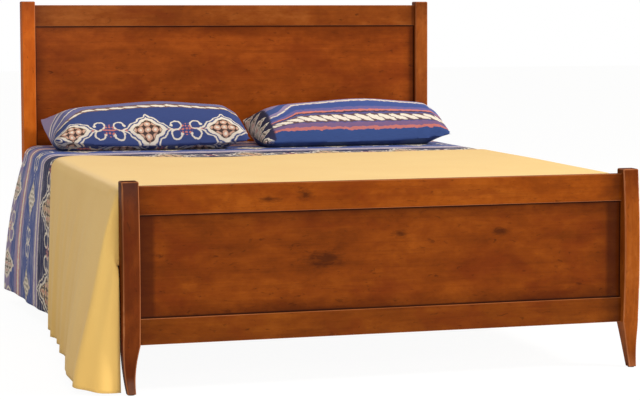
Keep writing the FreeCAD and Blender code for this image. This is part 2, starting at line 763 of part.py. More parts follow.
group("leg_screws", leg_screws)

foot = body("leg_leveller")
drawing = sketch(foot, "XZ_Plane", "leg_leveller_half")
outline(drawing, [
    ("0", "0"),
    ("pad_radius", "0"),
    ("pad_radius", "pad_height - pad_edge"),
    ("pad_radius - pad_edge", "pad_height"),
    ("stem_radius", "pad_height"),
    ("stem_radius", "pad_height + stem_length - stem_chamfer"),
    ("stem_radius - stem_chamfer", "pad_height + stem_length"),
    ("0", "pad_height + stem_length"),
])
turned = foot.newObject("PartDesign::Revolution", "leg_leveller_turned")
turned.Profile = drawing
turned.ReferenceAxis = (drawing, ["V_Axis"])
turned.Angle = 360

glides = []
for side, hand in SIDES:
    for end, along in (("foot", "foot_front + toe_depth / 2 - toe_reach"),
                       ("head", "head_front + post_size / 2")):
        glide = doc.addObject("Part::Cylinder", "glide_%s_%s" % (end, hand))
        glide.setExpression("Radius", sized("glide_radius"))
        glide.setExpression("Height", sized("glide_height"))
        place(glide, "%d * (post_inner + (inner_taper + post_size - outer_taper) / 2)" % side, along)
        glides.append(glide)
group("post_glides", glides)

# ---------------------------------------------------------------------------------------------------------------
# Foundation and mattress: upholstered blocks with rounded corners and rims
# ---------------------------------------------------------------------------------------------------------------

def upholstered(label, width, length, low, height, corner, rim):
    """A soft block on the slats or on another block."""
    block = body(label, "0", "mattress_middle", "%s + %s / 2" % (low, height))
    drawing = sketch(block, "XY_Plane", label + "_plan")
    rectangle(drawing, width, length)
    extrude(block, "Pad", drawing, height, label + "_stuffed")
    least = number(height) * MOST
    round_edges(block, corner, label + "_corners", lambda edge: runs_along(edge, "z", least))
    half = number(height) / 2
    round_edges(block, rim, label + "_rims",
                lambda edge: edge.BoundBox.ZLength < NEAR and abs(abs(edge.CenterOfMass.z) - half) < NEAR)
    return block


upholstered("foundation", "mattress_width - 2 * base_inset", "mattress_length - 2 * base_inset",
            "base_bottom", "base_height", "base_corner", "base_edge")
upholstered("mattress", "mattress_width", "mattress_length", "mattress_bottom", "mattress_height",
            "mattress_corner", "mattress_edge")

# ---------------------------------------------------------------------------------------------------------------
# Bedclothes: each cloth lies over the mattress, turns down over its sides clear of the side rails and flares to
# its hem. The left hems hang near the floor, the right ones stop higher. The left side hangs nearly straight
# in the middle of the bed and swings out towards its ends.
# ---------------------------------------------------------------------------------------------------------------

def draped_cloth(label, top, thickness, shoulder, left_hem, stations):
    """One cloth, lofted through cross-sections. stations holds each one's place along the bed and left flare."""
    cloth = body(label)
    turn_down = "%s - shoulder_drop" % top
    flat = "(%s - shoulder_run)" % shoulder
    under = "%s - %s" % (top, thickness)
    inside = "(%s - %s)" % (shoulder, thickness)
    sections = []
    for station, (along, left_flare) in enumerate(stations):
        drawing = sketch(cloth, "XZ_Plane", "%s_section_%d" % (label, station), "-(%s)" % along)
        outline(drawing, [
            ("-(%s + %s)" % (shoulder, left_flare), left_hem),
            ("-%s - %s" % (inside, left_flare), left_hem),
            ("-%s" % inside, turn_down),
            ("-%s" % flat, under, "-shoulder_bow"),
            (flat, under),
            (inside, turn_down, "-shoulder_bow"),
            ("%s + right_flare" % inside, "right_hem"),
            ("%s + right_flare" % shoulder, "right_hem"),
            (shoulder, turn_down),
            (flat, top, "shoulder_bow"),
            ("-%s" % flat, top),
            ("-%s" % shoulder, turn_down, "shoulder_bow"),
        ])
        sections.append(drawing)
    loft = cloth.newObject("PartDesign::AdditiveLoft", label + "_drape")
    loft.Profile = sections[0]
    loft.Sections = sections[1:]
    loft.Ruled = True
    doc.recompute()
    return cloth


draped_cloth("bed_cover", "cover_top", "cover_thickness", "cloth_shoulder", "cover_hem", (
    ("mattress_head + cover_head", "cover_flare"),
    ("blanket_head_edge", "cover_middle_flare"),
    ("mattress_foot - cover_foot", "cover_foot_flare"),
))
blanket = draped_cloth("blanket", "blanket_top", "blanket_thickness",
                       "(cloth_shoulder + blanket_thickness + cloth_gap)", "blanket_hem", (
                           ("blanket_head_edge", "blanket_head_flare"),
                           ("mattress_foot + blanket_middle", "blanket_middle_flare"),
                           ("blanket_foot_edge", "blanket_flare"),
                       ))
tuck = sketch(blanket, "XZ_Plane", "blanket_tuck_lines", "-(blanket_foot_edge + blanket_thickness / 2)")
rectangle(tuck, "mattress_width - 2 * tuck_inset", "foot_tuck", "0",
          "blanket_top - blanket_thickness / 2 - foot_tuck / 2")
extrude(blanket, "Pad", tuck, "blanket_thickness", "blanket_tuck")

# ---------------------------------------------------------------------------------------------------------------
# Pillows: each is lofted through level rings that shrink from the seam to the crowns as an ellipse does, lies
# tilted with its head edge up, and rests on the cover.
# ---------------------------------------------------------------------------------------------------------------
PILLOW_RINGS = 9
RING_STEP = 19
CORNER_STEPS = 3


def pillow(label, side):
    """One pillow, side -1 for the left."""
    item = body(label)
    sections = []
    for ring in range(PILLOW_RINGS):
        angle = math.radians(RING_STEP * (ring - PILLOW_RINGS // 2))
        share = "%.6f" % math.cos(angle)
        drawing = sketch(item, "XY_Plane", "%s_level%d" % (label, ring),
                         "%.6f * pillow_height / 2" % math.sin(angle))
        half_width = "pillow_width / 2 * " + share
        half_length = "(pillow_length - pillow_width) / 2 + " + half_width
        radius = "(pillow_corner * %s)" % share
        around = []
        for quarter, (side_x, side_y) in enumerate(((1, 1), (-1, 1), (-1, -1), (1, -1))):
            for step in range(CORNER_STEPS + 1):
                turn = math.radians(90 * (quarter + step / CORNER_STEPS))
                around.append(("%d * (%s - %s) + %.6f * %s" % (side_x, half_length, radius, math.cos(turn), radius),
                               "%d * (%s - %s) + %.6f * %s" % (side_y, half_width, radius, math.sin(turn), radius)))
        outline(drawing, around)
        sections.append(drawing)
    loft = item.newObject("PartDesign::AdditiveLoft", label + "_filled")
    loft.Profile = sections[0]
    loft.Sections = sections[1:]
    loft.Ruled = True
    doc.recompute()
    item.Placement.Rotation = FreeCAD.Rotation(FreeCAD.Vector(1, 0, 0), number("pillow_tilt"))
    rise = -item.Shape.optimalBoundingBox().ZMin
    place(item, "%d * (pillow_length + pillow_between) / 2" % side, "pillow_along",
          "cover_top + lift_gap + %.3f" % rise)
    return item


pillow("pillow_left", -1)
pillow("pillow_right", 1)

# ---------------------------------------------------------------------------------------------------------------
# Check and export
# ---------------------------------------------------------------------------------------------------------------
doc.recompute()
faults = [item.Label for item in doc.Objects if "Invalid" in item.State or "Error" in item.State]
for piece in PIECES:
    if piece.Shape.isNull() or not piece.Shape.isValid():
        faults.append(piece.Label)
if faults:
    raise SystemExit("failed: " + ", ".join(faults))

os.makedirs("parts", exist_ok=True)
for piece in PIECES:
    piece.Shape.exportStep("parts/%s.step" % piece.Label)
    print("%-26s solids %2d volume %12.1f" % (piece.Label, len(piece.Shape.Solids), piece.Shape.Volume))
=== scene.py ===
import math

import bmesh
import bpy
import numpy as np
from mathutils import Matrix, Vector


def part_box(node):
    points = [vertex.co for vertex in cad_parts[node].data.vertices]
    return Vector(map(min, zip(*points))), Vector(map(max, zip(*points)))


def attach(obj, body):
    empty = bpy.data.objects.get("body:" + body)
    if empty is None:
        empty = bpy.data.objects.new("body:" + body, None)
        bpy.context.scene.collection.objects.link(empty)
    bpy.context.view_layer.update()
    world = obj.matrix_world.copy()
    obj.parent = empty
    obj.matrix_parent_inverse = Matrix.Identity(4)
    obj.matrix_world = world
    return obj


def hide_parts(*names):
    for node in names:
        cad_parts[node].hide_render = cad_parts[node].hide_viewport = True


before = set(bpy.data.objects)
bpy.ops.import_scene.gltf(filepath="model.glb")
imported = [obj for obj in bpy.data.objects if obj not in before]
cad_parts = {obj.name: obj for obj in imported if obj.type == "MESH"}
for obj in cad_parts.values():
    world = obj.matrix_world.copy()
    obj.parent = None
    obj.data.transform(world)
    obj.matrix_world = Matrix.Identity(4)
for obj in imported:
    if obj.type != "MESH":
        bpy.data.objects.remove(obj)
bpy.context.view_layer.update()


# The camera stands where the photographer stood, at a grown person's chest
# height and some six metres off the foot of the bed, and looks down a little.
bpy.ops.object.select_all(action="DESELECT")
camera_data = bpy.data.cameras.new("camera")
picture_width, focal_length = 640, 2128.2
camera_data.sensor_width = 36
camera_data.lens = 36 * focal_length / picture_width
camera_data.shift_x = -0.15
camera_data.shift_y = -0.06
camera = bpy.data.objects.new("camera", camera_data)
camera.location = (-1.91075, -7.18583, 1.13546)
look_down, turn_right = 0.0732, 0.31529
camera.rotation_euler = (math.pi / 2 - look_down, 0, -turn_right)
bpy.context.scene.collection.objects.link(camera)
bpy.context.scene.camera = camera
bpy.context.scene.view_settings.view_transform = "Standard"


# The studio: a pale floor that keeps the bed's shadow, a large soft lamp at the
# right of the foot, a weaker one before it and one overhead, and a pale room
# all round that fills the shadows.
def add_node(tree, kind, inputs=None, **settings):
    node = tree.nodes.new(kind)
    for name, value in settings.items():
        setattr(node, name, value)
    for name, value in (inputs or {}).items():
        if isinstance(value, bpy.types.NodeSocket):
            tree.links.new(value, node.inputs[name])
        else:
            node.inputs[name].default_value = value
    return node


def sum_of(tree, operation, first, second=0.0, third=None):
    node = tree.nodes.new("ShaderNodeMath")
    node.operation = operation
    for place, value in enumerate((first, second, third)):
        if isinstance(value, bpy.types.NodeSocket):
            tree.links.new(value, node.inputs[place])
        elif value is not None:
            node.inputs[place].default_value = value
    return node.outputs[0]


def seen_by_eye(tree):
    path = add_node(tree, "ShaderNodeLightPath")
    seen = sum_of(tree, "MAXIMUM", path.outputs["Is Camera Ray"], path.outputs["Is Glossy Ray"])
    return sum_of(tree, "MAXIMUM", seen, path.outputs["Is Transmission Ray"])


bpy.ops.mesh.primitive_plane_add(size=60, location=(0, 0, -0.0005))
floor = bpy.context.object
floor.name = "studio_floor"
paint = bpy.data.materials.new("studio_floor")
paint.use_nodes = True
tree = paint.node_tree
tree.nodes.remove(tree.nodes["Principled BSDF"])
matt = add_node(tree, "ShaderNodeBsdfDiffuse", {"Color": (0.90, 0.90, 0.90, 1)})
glow_strength, glow_share = 1.05, 0.90
glow = add_node(tree, "ShaderNodeEmission", {"Color": (1, 1, 1, 1), "Strength": glow_strength})
share = sum_of(tree, "MULTIPLY", seen_by_eye(tree), glow_share)
mix = add_node(tree, "ShaderNodeMixShader", {0: share, 1: matt.outputs[0], 2: glow.outputs[0]})
tree.links.new(mix.outputs[0], tree.nodes["Material Output"].inputs["Surface"])
floor.data.materials.append(paint)

world = bpy.data.worlds.new("room")
world.use_nodes = True
bpy.context.scene.world = world
tree = world.node_tree
fill = tree.nodes["Background"]
fill.inputs["Color"].default_value = (1.0, 0.95, 0.86, 1)
fill.inputs["Strength"].default_value = 0.40
white = add_node(tree, "ShaderNodeBackground", {"Color": (1, 1, 1, 1), "Strength": 1.0})
mix = add_node(tree, "ShaderNodeMixShader", {0: seen_by_eye(tree), 1: fill.outputs[0], 2: white.outputs[0]})
tree.links.new(mix.outputs[0], tree.nodes["World Output"].inputs["Surface"])

for lamp, place, size, power in (
    ("key_lamp", (6.4, -3.6, 5.2), 1.8, 580),
    ("front_lamp", (-0.5, -7.4, 2.6), 2.6, 165),
    ("top_lamp", (-2.4, 0.6, 5.0), 2.4, 36),
):
    light = bpy.data.lights.new(lamp, "AREA")
    light.shape = "SQUARE"
    light.size = size
    light.energy = power
    light.color = (1.0, 0.985, 0.96)
    stand = bpy.data.objects.new(lamp, light)
    stand.location = place
    stand.rotation_euler = (Vector((0, 0, 0.5)) - Vector(place)).to_track_quat("-Z", "Y").to_euler()
    bpy.context.scene.collection.objects.link(stand)


# The show wood: posts, rails and panels in a fine-grained hardwood, stained a
# warm red-brown by wiping, so it lies blotchy along the grain, then lacquered
# to a satin gloss. Each piece is darker towards its joints, partly stain
# gathered there and partly painted shade; the panels carry a painted shadow
# line round their edges and the footboard panel a painted shadow of the posts
# at its ends; the eased edges carry a painted highlight.
def tint(red, green, blue):
    return tuple(
        c / 12.92 if c <= 0.04045 else ((c + 0.055) / 1.055) ** 2.4
        for c in (red / 255, green / 255, blue / 255)
    ) + (1.0,)


def new_finish(name, roughness=0.5, specular=0.5):
    material = bpy.data.materials.new(name)
    material.use_nodes = True
    tree = material.node_tree
    shader = tree.nodes["Principled BSDF"]
    shader.inputs["Roughness"].default_value = roughness
    shader.inputs["Specular IOR Level"].default_value = specular
    return material, tree, shader


def ramp(tree, socket, stops, interpolation="LINEAR"):
    node = tree.nodes.new("ShaderNodeValToRGB")
    tree.links.new(socket, node.inputs[0])
    node.color_ramp.interpolation = interpolation
    while len(node.color_ramp.elements) < len(stops):
        node.color_ramp.elements.new(0.5)
    for element, (place, colour) in zip(node.color_ramp.elements, stops):
        element.position = place
        element.color = colour
    return node.outputs[0]


def mixed(tree, share, first, second, blend="MIX"):
    node = tree.nodes.new("ShaderNodeMix")
    node.data_type = "RGBA"
    node.blend_type = blend
    for place, value in ((0, share), (6, first), (7, second)):
        if isinstance(value, bpy.types.NodeSocket):
            tree.links.new(value, node.inputs[place])
        else:
            node.inputs[place].default_value = value
    return node.outputs[2]


def span(tree, socket, low, high, start=0.0, end=1.0):
    node = add_node(tree, "ShaderNodeMapRange", {0: socket, 1: low, 2: high, 3: start, 4: end})
    return node.outputs[0]


def grain_scale(along, across, grain):
    return tuple(along if axis == grain else across for axis in "xyz")


# Painted highlight: a mask on the rounded, eased edges, where the lacquer would catch the light.
def painted_highlight_mask(tree):
    normal = add_node(tree, "ShaderNodeTexCoord").outputs["Normal"]
    part = add_node(tree, "ShaderNodeSeparateXYZ", {0: normal})
    x, y, z = (sum_of(tree, "ABSOLUTE", part.outputs[i]) for i in range(3))
    most = sum_of(tree, "MAXIMUM", sum_of(tree, "MAXIMUM", x, y), z)
    return span(tree, most, 0.992, 0.86)


def stained_wood(name, node, grain, seed, mid, dark, light, knots=()):
    ruddy = tuple(0.80 * m + 0.20 * r for m, r in zip(dark, tint(150, 40, 20)))
    material, tree, shader = new_finish(name, 0.36, 0.0)
    place = add_node(tree, "ShaderNodeTexCoord").outputs["Object"]

    def figure(along, across, scale, detail, distortion=0.0, shift=0.0):
        mapping = add_node(tree, "ShaderNodeMapping", {
            "Vector": place,
            "Location": (seed * 3.1 + shift, seed * 1.7, seed * 2.3),
            "Scale": grain_scale(along, across, grain),
        })
        noise = add_node(tree, "ShaderNodeTexNoise", {
            "Vector": mapping.outputs[0], "Scale": scale, "Detail": detail,
            "Roughness": 0.62, "Distortion": distortion,
        })
        return noise.outputs["Fac"]

    cloud = figure(0.50, 1.1, 5.0, 3.0, 0.4)
    blotch = figure(0.40, 1.15, 17.0, 6.0, 0.5, 4.0)
    streak = figure(0.10, 2.2, 16.0, 5.0, 0.6, 7.0)
    fibre = figure(0.035, 2.2, 60.0, 5.0, 0.0, 9.0)
    pore = figure(0.12, 1.0, 380.0, 2.0, 0.0, 13.0)
    fleck = figure(0.35, 1.0, 85.0, 3.0, 0.6, 17.0)
    mottle = figure(0.70, 1.0, 38.0, 4.0, 0.3, 21.0)
    tone = sum_of(
        tree, "ADD", sum_of(tree, "MULTIPLY", cloud, 0.45), sum_of(tree, "MULTIPLY", blotch, 0.35))
    tone = sum_of(tree, "ADD", tone, sum_of(tree, "MULTIPLY", mottle, 0.20))
    colour = ramp(tree, span(tree, tone, 0.27, 0.73), ((0.0, dark), (0.5, mid), (0.9, light)))
    colour = mixed(tree, span(tree, streak, 0.52, 0.76, 0.0, 0.40), colour, dark)
    colour = mixed(tree, span(tree, streak, 0.44, 0.28, 0.0, 0.30), colour, light)
    colour = mixed(tree, span(tree, fibre, 0.50, 0.72, 0.0, 0.22), colour, dark)
    colour = mixed(tree, span(tree, pore, 0.60, 0.74, 0.0, 0.30), colour, dark)
    flush = span(tree, figure(0.60, 1.0, 9.0, 3.0, 0.4, 25.0), 0.50, 0.68, 0.0, 0.45)
    colour = mixed(tree, flush, colour, ruddy)
    colour = mixed(tree, span(tree, fleck, 0.62, 0.74, 0.0, 0.55), colour, tint(52, 20, 6))
    for centre, length, width in knots:
        near = add_node(tree, "ShaderNodeVectorMath", {0: place, 1: centre}, operation="SUBTRACT")
        near = add_node(tree, "ShaderNodeVectorMath", {
            0: near.outputs[0], 1: grain_scale(1 / length, 1 / width, grain)}, operation="MULTIPLY")
        near = add_node(tree, "ShaderNodeVectorMath", {0: near.outputs[0]}, operation="LENGTH")
        ragged = sum_of(tree, "ADD", near.outputs["Value"], span(tree, fleck, 0.3, 0.7, -0.45, 0.45))
        colour = mixed(tree, span(tree, ragged, 1.0, 0.15, 0.0, 0.70), colour, tint(54, 22, 8))
    low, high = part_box(node)
    middle, half = (low + high) / 2, (high - low) / 2
    part = add_node(tree, "ShaderNodeSeparateXYZ", {0: place})
    inset = {"headboard_panel": 0.010, "footboard_panel": 0.010}.get(node, 0.0)
    ends = [sum_of(tree, "SUBTRACT", half[axis] - inset, sum_of(
        tree, "ABSOLUTE", sum_of(tree, "SUBTRACT", part.outputs[axis], middle[axis])))
        for axis in (("xyz".index(grain), 2) if inset else ("xyz".index(grain),))]
    edge = ends[0] if len(ends) == 1 else sum_of(tree, "MINIMUM", *ends)
    # Darker towards the joints at each piece's ends: partly stain gathered there, partly painted shade.
    joint, depth = (0.05, 0.75) if inset else (0.11, 0.90)
    joint_stain_and_shade = sum_of(
        tree, "MULTIPLY", span(tree, edge, joint, 0.0, 0.0, depth), span(tree, tone, 0.38, 0.62, 1.0, 0.55))
    colour = mixed(tree, joint_stain_and_shade, colour, tuple(0.62 * channel for channel in dark))
    # Painted shadow: a dark band at both ends of the footboard panel, where the posts shade it.
    if node == "footboard_panel":
        colour = mixed(tree, span(tree, ends[0], 0.052, 0.040, 0.0, 0.60), colour, tint(64, 24, 6))
    # Painted shadow: a thin dark line round each panel, where the rails and posts overhang it.
    if inset:
        colour = mixed(tree, span(tree, edge, 0.006, 0.0015, 0.0, 0.85), colour, tint(38, 14, 5))
    # Painted highlight: the eased edges are lightened as if they caught the light.
    painted_edge_highlight = sum_of(tree, "MULTIPLY", painted_highlight_mask(tree), span(tree, streak, 0.3, 0.6, 0.9, 0.35))
    colour = mixed(tree, painted_edge_highlight, colour, tint(186, 118, 76))
    tree.links.new(colour, shader.inputs["Base Color"])
    rough = span(tree, blotch, 0.3, 0.7, 0.30, 0.42)
    tree.links.new(rough, shader.inputs["Roughness"])
    shader.inputs["Coat Weight"].default_value = 0.10
    shader.inputs["Coat Roughness"].default_value = 0.20
    height = sum_of(tree, "ADD", sum_of(tree, "MULTIPLY", pore, -0.5), fibre)
    bump = add_node(tree, "ShaderNodeBump", {"Height": height, "Strength": 0.10, "Distance": 0.0008})
    tree.links.new(bump.outputs[0], shader.inputs["Normal"])
    return material


def dress(node, material):
    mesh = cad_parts[node].data
    mesh.materials.clear()
    mesh.materials.append(material)


# Painted light and shade: each piece's tones are set to how light or dark it shows under these lamps, so
# the left head post is a lighter, lit copy of the wood and the left foot post a darker, shaded copy.
for place, (node, grain, mid, dark, light, knots) in enumerate((
    ("headboard_panel", "x", (142, 66, 18), (98, 40, 10), (170, 84, 26), ()),
    ("headboard_top_rail", "x", (134, 66, 20), (98, 42, 12), (162, 92, 38), ()),
    ("headboard_bottom_rail", "x", (134, 62, 20), (98, 42, 12), (158, 82, 30), ()),
    ("headboard_post_left", "z", (196, 94, 22), (162, 70, 14), (222, 122, 40), ()),
    ("headboard_post_right", "z", (142, 72, 24), (104, 46, 14), (172, 96, 42), ()),
    ("footboard_panel", "x", (122, 56, 11), (78, 31, 6), (150, 76, 18), (
        ((-0.20, -1.055, 0.375), 0.075, 0.030), ((0.04, -1.055, 0.445), 0.030, 0.014),
        ((0.36, -1.055, 0.440), 0.035, 0.016))),
    ("footboard_top_rail", "x", (136, 64, 12), (90, 36, 7), (164, 86, 22), (
        ((-0.26, -1.062, 0.572), 0.030, 0.022), ((-0.37, -1.062, 0.560), 0.035, 0.012))),
    ("footboard_bottom_rail", "x", (120, 58, 12), (82, 34, 7), (146, 78, 20), ()),
    ("footboard_post_left", "z", (104, 46, 12), (70, 27, 8), (138, 66, 22), ()),
    ("footboard_post_right", "z", (146, 74, 20), (98, 40, 10), (180, 104, 42), ()),
    ("side_rail_left", "y", (132, 60, 18), (96, 40, 10), (158, 80, 28), ()),
    ("side_rail_right", "y", (132, 60, 18), (96, 40, 10), (158, 80, 28), ()),
)):
    dress(node, stained_wood(
        "stained_" + node, node, grain, place + 1, tint(*mid), tint(*dark), tint(*light), knots))


# The bearing wood: slats, ledgers, centre beam and centre leg in bare planed
# softwood, pale, with soft growth lines, screwed and pegged out of sight.
def bare_wood(name, grain, seed):
    material, tree, shader = new_finish(name, 0.62, 0.3)
    place = add_node(tree, "ShaderNodeTexCoord").outputs["Object"]
    mapping = add_node(tree, "ShaderNodeMapping", {
        "Vector": place, "Location": (seed, seed * 0.7, seed * 1.3), "Scale": grain_scale(0.4, 6.0, grain)})
    rings = add_node(tree, "ShaderNodeTexNoise", {
        "Vector": mapping.outputs[0], "Scale": 5.0, "Detail": 4.0, "Distortion": 0.5})
    fibre = add_node(tree, "ShaderNodeTexNoise", {
        "Vector": mapping.outputs[0], "Scale": 60.0, "Detail": 3.0})
    line = sum_of(tree, "PINGPONG", sum_of(tree, "MULTIPLY", rings.outputs["Fac"], 9.0), 1.0)
    colour = ramp(tree, line, (
        (0.0, tint(214, 178, 124)), (0.7, tint(222, 190, 140)), (1.0, tint(186, 140, 88))))
    colour = mixed(tree, span(tree, fibre.outputs["Fac"], 0.45, 0.7, 0.0, 0.3), colour, tint(190, 146, 96))
    tree.links.new(colour, shader.inputs["Base Color"])
    bump = add_node(tree, "ShaderNodeBump", {
        "Height": fibre.outputs["Fac"], "Strength": 0.15, "Distance": 0.001})
    tree.links.new(bump.outputs[0], shader.inputs["Normal"])
    return material


for place, node in enumerate(sorted(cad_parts)):
    if node.startswith("slat_") and node[5:].isdigit():
        dress(node, bare_wood("bare_" + node, "x", place * 2.3))
for place, (node, grain) in enumerate((
    ("ledger_left", "y"), ("ledger_right", "y"), ("centre_beam", "y"), ("centre_leg", "z"),
)):
    dress(node, bare_wood("bare_" + node, grain, place * 4.1 + 50))


# The fittings: pressed steel hook plates and hangers with zinc-plated screws,
# dull and faintly mottled, and hard nylon glides and foot.
def zinc_steel(name):
    material, tree, shader = new_finish(name, 0.4)
    place = add_node(tree, "ShaderNodeTexCoord").outputs["Object"]
    cloud = add_node(tree, "ShaderNodeTexNoise", {"Vector": place, "Scale": 90.0, "Detail": 3.0})
    tree.links.new(
        ramp(tree, cloud.outputs["Fac"], ((0.3, tint(150, 150, 148)), (0.7, tint(186, 184, 176)))),
        shader.inputs["Base Color"])
    tree.links.new(span(tree, cloud.outputs["Fac"], 0.3, 0.7, 0.32, 0.5), shader.inputs["Roughness"])
    shader.inputs["Metallic"].default_value = 1.0
    return material


def moulded_nylon(name, pale, dark):
    material, tree, shader = new_finish(name, 0.45, 0.4)
    place = add_node(tree, "ShaderNodeTexCoord").outputs["Object"]
    cloud = add_node(tree, "ShaderNodeTexNoise", {"Vector": place, "Scale": 240.0, "Detail": 2.0})
    colour = ramp(tree, cloud.outputs["Fac"], ((0.35, dark), (0.65, pale)))
    tree.links.new(colour, shader.inputs["Base Color"])
    bump = add_node(tree, "ShaderNodeBump", {
        "Height": cloud.outputs["Fac"], "Strength": 0.2, "Distance": 0.0003})
    tree.links.new(bump.outputs[0], shader.inputs["Normal"])
    return material


steel = zinc_steel("zinc_steel")
for node in ("post_slotted_plates", "rail_hook_plates", "plate_screws", "beam_hangers", "hanger_screws",
             "slat_screws", "leg_screws"):
    dress(node, steel)
nylon = moulded_nylon("moulded_nylon", tint(72, 60, 52), tint(58, 48, 42))
for node in ("post_glides", "leg_leveller"):
    dress(node, nylon)


# The slat tapes: two straps of woven cotton, stapled under the slats to keep
# their spacing.
def woven_tape(name):
    material, tree, shader = new_finish(name, 0.9, 0.1)
    place = add_node(tree, "ShaderNodeTexCoord").outputs["Object"]
    rib = add_node(tree, "ShaderNodeTexWave", {"Vector": place, "Scale": 160.0, "Distortion": 0.4},
                   wave_type="BANDS", bands_direction="Y")
    tree.links.new(ramp(tree, rib.outputs["Fac"], ((0.2, tint(196, 186, 166)), (0.8, tint(228, 220, 202)))),
                   shader.inputs["Base Color"])
    bump = add_node(tree, "ShaderNodeBump", {
        "Height": rib.outputs["Fac"], "Strength": 0.4, "Distance": 0.0004})
    tree.links.new(bump.outputs[0], shader.inputs["Normal"])
    return material


tape = woven_tape("woven_tape")
for node in ("slat_tape_left", "slat_tape_right"):
    dress(node, tape)


# The foundation: a shallow upholstered box on the slats, in woven ticking drawn
# tight over its frame, with a corded seam round the top and the bottom.
def ticking(name, pale, line, pitch):
    material, tree, shader = new_finish(name, 0.85, 0.15)
    place = add_node(tree, "ShaderNodeTexCoord").outputs["Object"]
    part = add_node(tree, "ShaderNodeSeparateXYZ", {0: place})
    along = sum_of(tree, "ADD", part.outputs[0], part.outputs[1])
    stripe = sum_of(tree, "ABSOLUTE", sum_of(tree, "SUBTRACT", sum_of(
        tree, "FRACT", sum_of(tree, "DIVIDE", along, pitch)), 0.5))
    weave = add_node(tree, "ShaderNodeTexNoise", {"Vector": place, "Scale": 900.0, "Detail": 2.0})
    colour = mixed(tree, span(tree, stripe, 0.06, 0.035, 0.0, 0.8), pale, line)
    colour = mixed(tree, span(tree, weave.outputs["Fac"], 0.4, 0.7, 0.0, 0.25), colour, line)
    tree.links.new(colour, shader.inputs["Base Color"])
    bump = add_node(tree, "ShaderNodeBump", {
        "Height": weave.outputs["Fac"], "Strength": 0.4, "Distance": 0.0005})
    tree.links.new(bump.outputs[0], shader.inputs["Normal"])
    shader.inputs["Sheen Weight"].default_value = 0.15
    return material


def soft_block(name, node, corner, edge, bulge, quilt, spacing, trim=0.0006):
    low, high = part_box(node)
    middle, half = (low + high) / 2, (high - low) / 2 - Vector((trim, trim, trim))
    bpy.ops.object.select_all(action="DESELECT")
    bpy.ops.mesh.primitive_cube_add(size=2)
    block = bpy.context.object
    block.name = name
    bpy.ops.object.mode_set(mode="EDIT")
    bpy.ops.mesh.subdivide(number_cuts=71)
    bpy.ops.object.mode_set(mode="OBJECT")
    co = np.empty(len(block.data.vertices) * 3)
    block.data.vertices.foreach_get("co", co)
    co = co.reshape(-1, 3)
    size = np.array(half)
    place = co * size
    core = size - np.array((corner, corner, edge))
    inner = np.clip(place, -core, core)
    off = (place - inner) / np.array((corner, corner, edge))
    reach = np.linalg.norm(off, axis=1, keepdims=True)
    largest = np.abs(off).max(axis=1, keepdims=True)
    off = np.where(reach > 0, off / np.maximum(reach, 1e-9) * largest, off)
    shape = inner + off * np.array((corner, corner, edge))
    top = np.clip(np.abs(co[:, 2]), 0, 1) ** 8
    flat = np.clip((1 - np.abs(place[:, 0]) / size[0]) / 0.08, 0, 1) * np.clip(
        (1 - np.abs(place[:, 1]) / size[1]) / 0.06, 0, 1)
    ridge = np.abs(np.sin(math.pi * (place[:, 0] + place[:, 1]) / spacing)) * np.abs(
        np.sin(math.pi * (place[:, 0] - place[:, 1]) / spacing))
    shape[:, 2] -= np.sign(co[:, 2]) * top * (quilt * (1 - ridge ** 0.5)) * (0.3 + 0.7 * flat)
    side = 1 - np.clip(np.abs(co[:, 2]), 0, 1) ** 2
    for axis in (0, 1):
        face = np.clip(np.abs(co[:, axis]), 0, 1) ** 12
        shape[:, axis] -= np.sign(co[:, axis]) * face * bulge * (1 - side)
    block.data.vertices.foreach_set("co", (shape + np.array(middle)).ravel())
    block.data.update()
    bpy.ops.object.select_all(action="DESELECT")
    block.select_set(True)
    bpy.context.view_layer.objects.active = block
    bpy.ops.object.shade_smooth()
    return block


def corded_seam(name, node, height, corner, cord, inset):
    low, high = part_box(node)
    x, y = high.x - inset, high.y - inset
    middle_y = (low.y + high.y) / 2
    y -= middle_y
    ring, steps = [], 12
    for centre_x, centre_y, start in ((x - corner, y - corner, 0), (corner - x, y - corner, 90),
                                      (corner - x, corner - y, 180), (x - corner, corner - y, 270)):
        for step in range(steps + 1):
            turn = math.radians(start + step * 90 / steps)
            ring.append((
                centre_x + corner * math.cos(turn), middle_y + centre_y + corner * math.sin(turn), height))
    bpy.ops.object.select_all(action="DESELECT")
    curve = bpy.data.curves.new(name, "CURVE")
    curve.dimensions = "3D"
    curve.bevel_depth = cord
    curve.bevel_resolution = 3
    line = curve.splines.new("POLY")
    line.points.add(len(ring) - 1)
    for point, spot in zip(line.points, ring):
        point.co = (*spot, 1)
    line.use_cyclic_u = True
    seam = bpy.data.objects.new(name, curve)
    bpy.context.scene.collection.objects.link(seam)
    seam.select_set(True)
    bpy.context.view_layer.objects.active = seam
    bpy.ops.object.convert(target="MESH")
    bpy.ops.object.shade_smooth()
    return bpy.context.object


foundation_low, foundation_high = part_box("foundation")
foundation_cloth = ticking("foundation_ticking", tint(226, 220, 206), tint(150, 146, 150), 0.045)
foundation = soft_block("foundation_ticking_box", "foundation", 0.03, 0.012, 0.004, 0.0, 0.2, 0.001)
foundation.data.materials.append(foundation_cloth)
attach(foundation, "foundation")
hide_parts("foundation")
for side, height in (("top", foundation_high.z - 0.010), ("bottom", foundation_low.z + 0.010)):
    seam = corded_seam("foundation_cord_" + side, "foundation", height, 0.030, 0.0032, 0.0035)
    seam.data.materials.append(foundation_cloth)
    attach(seam, "foundation")


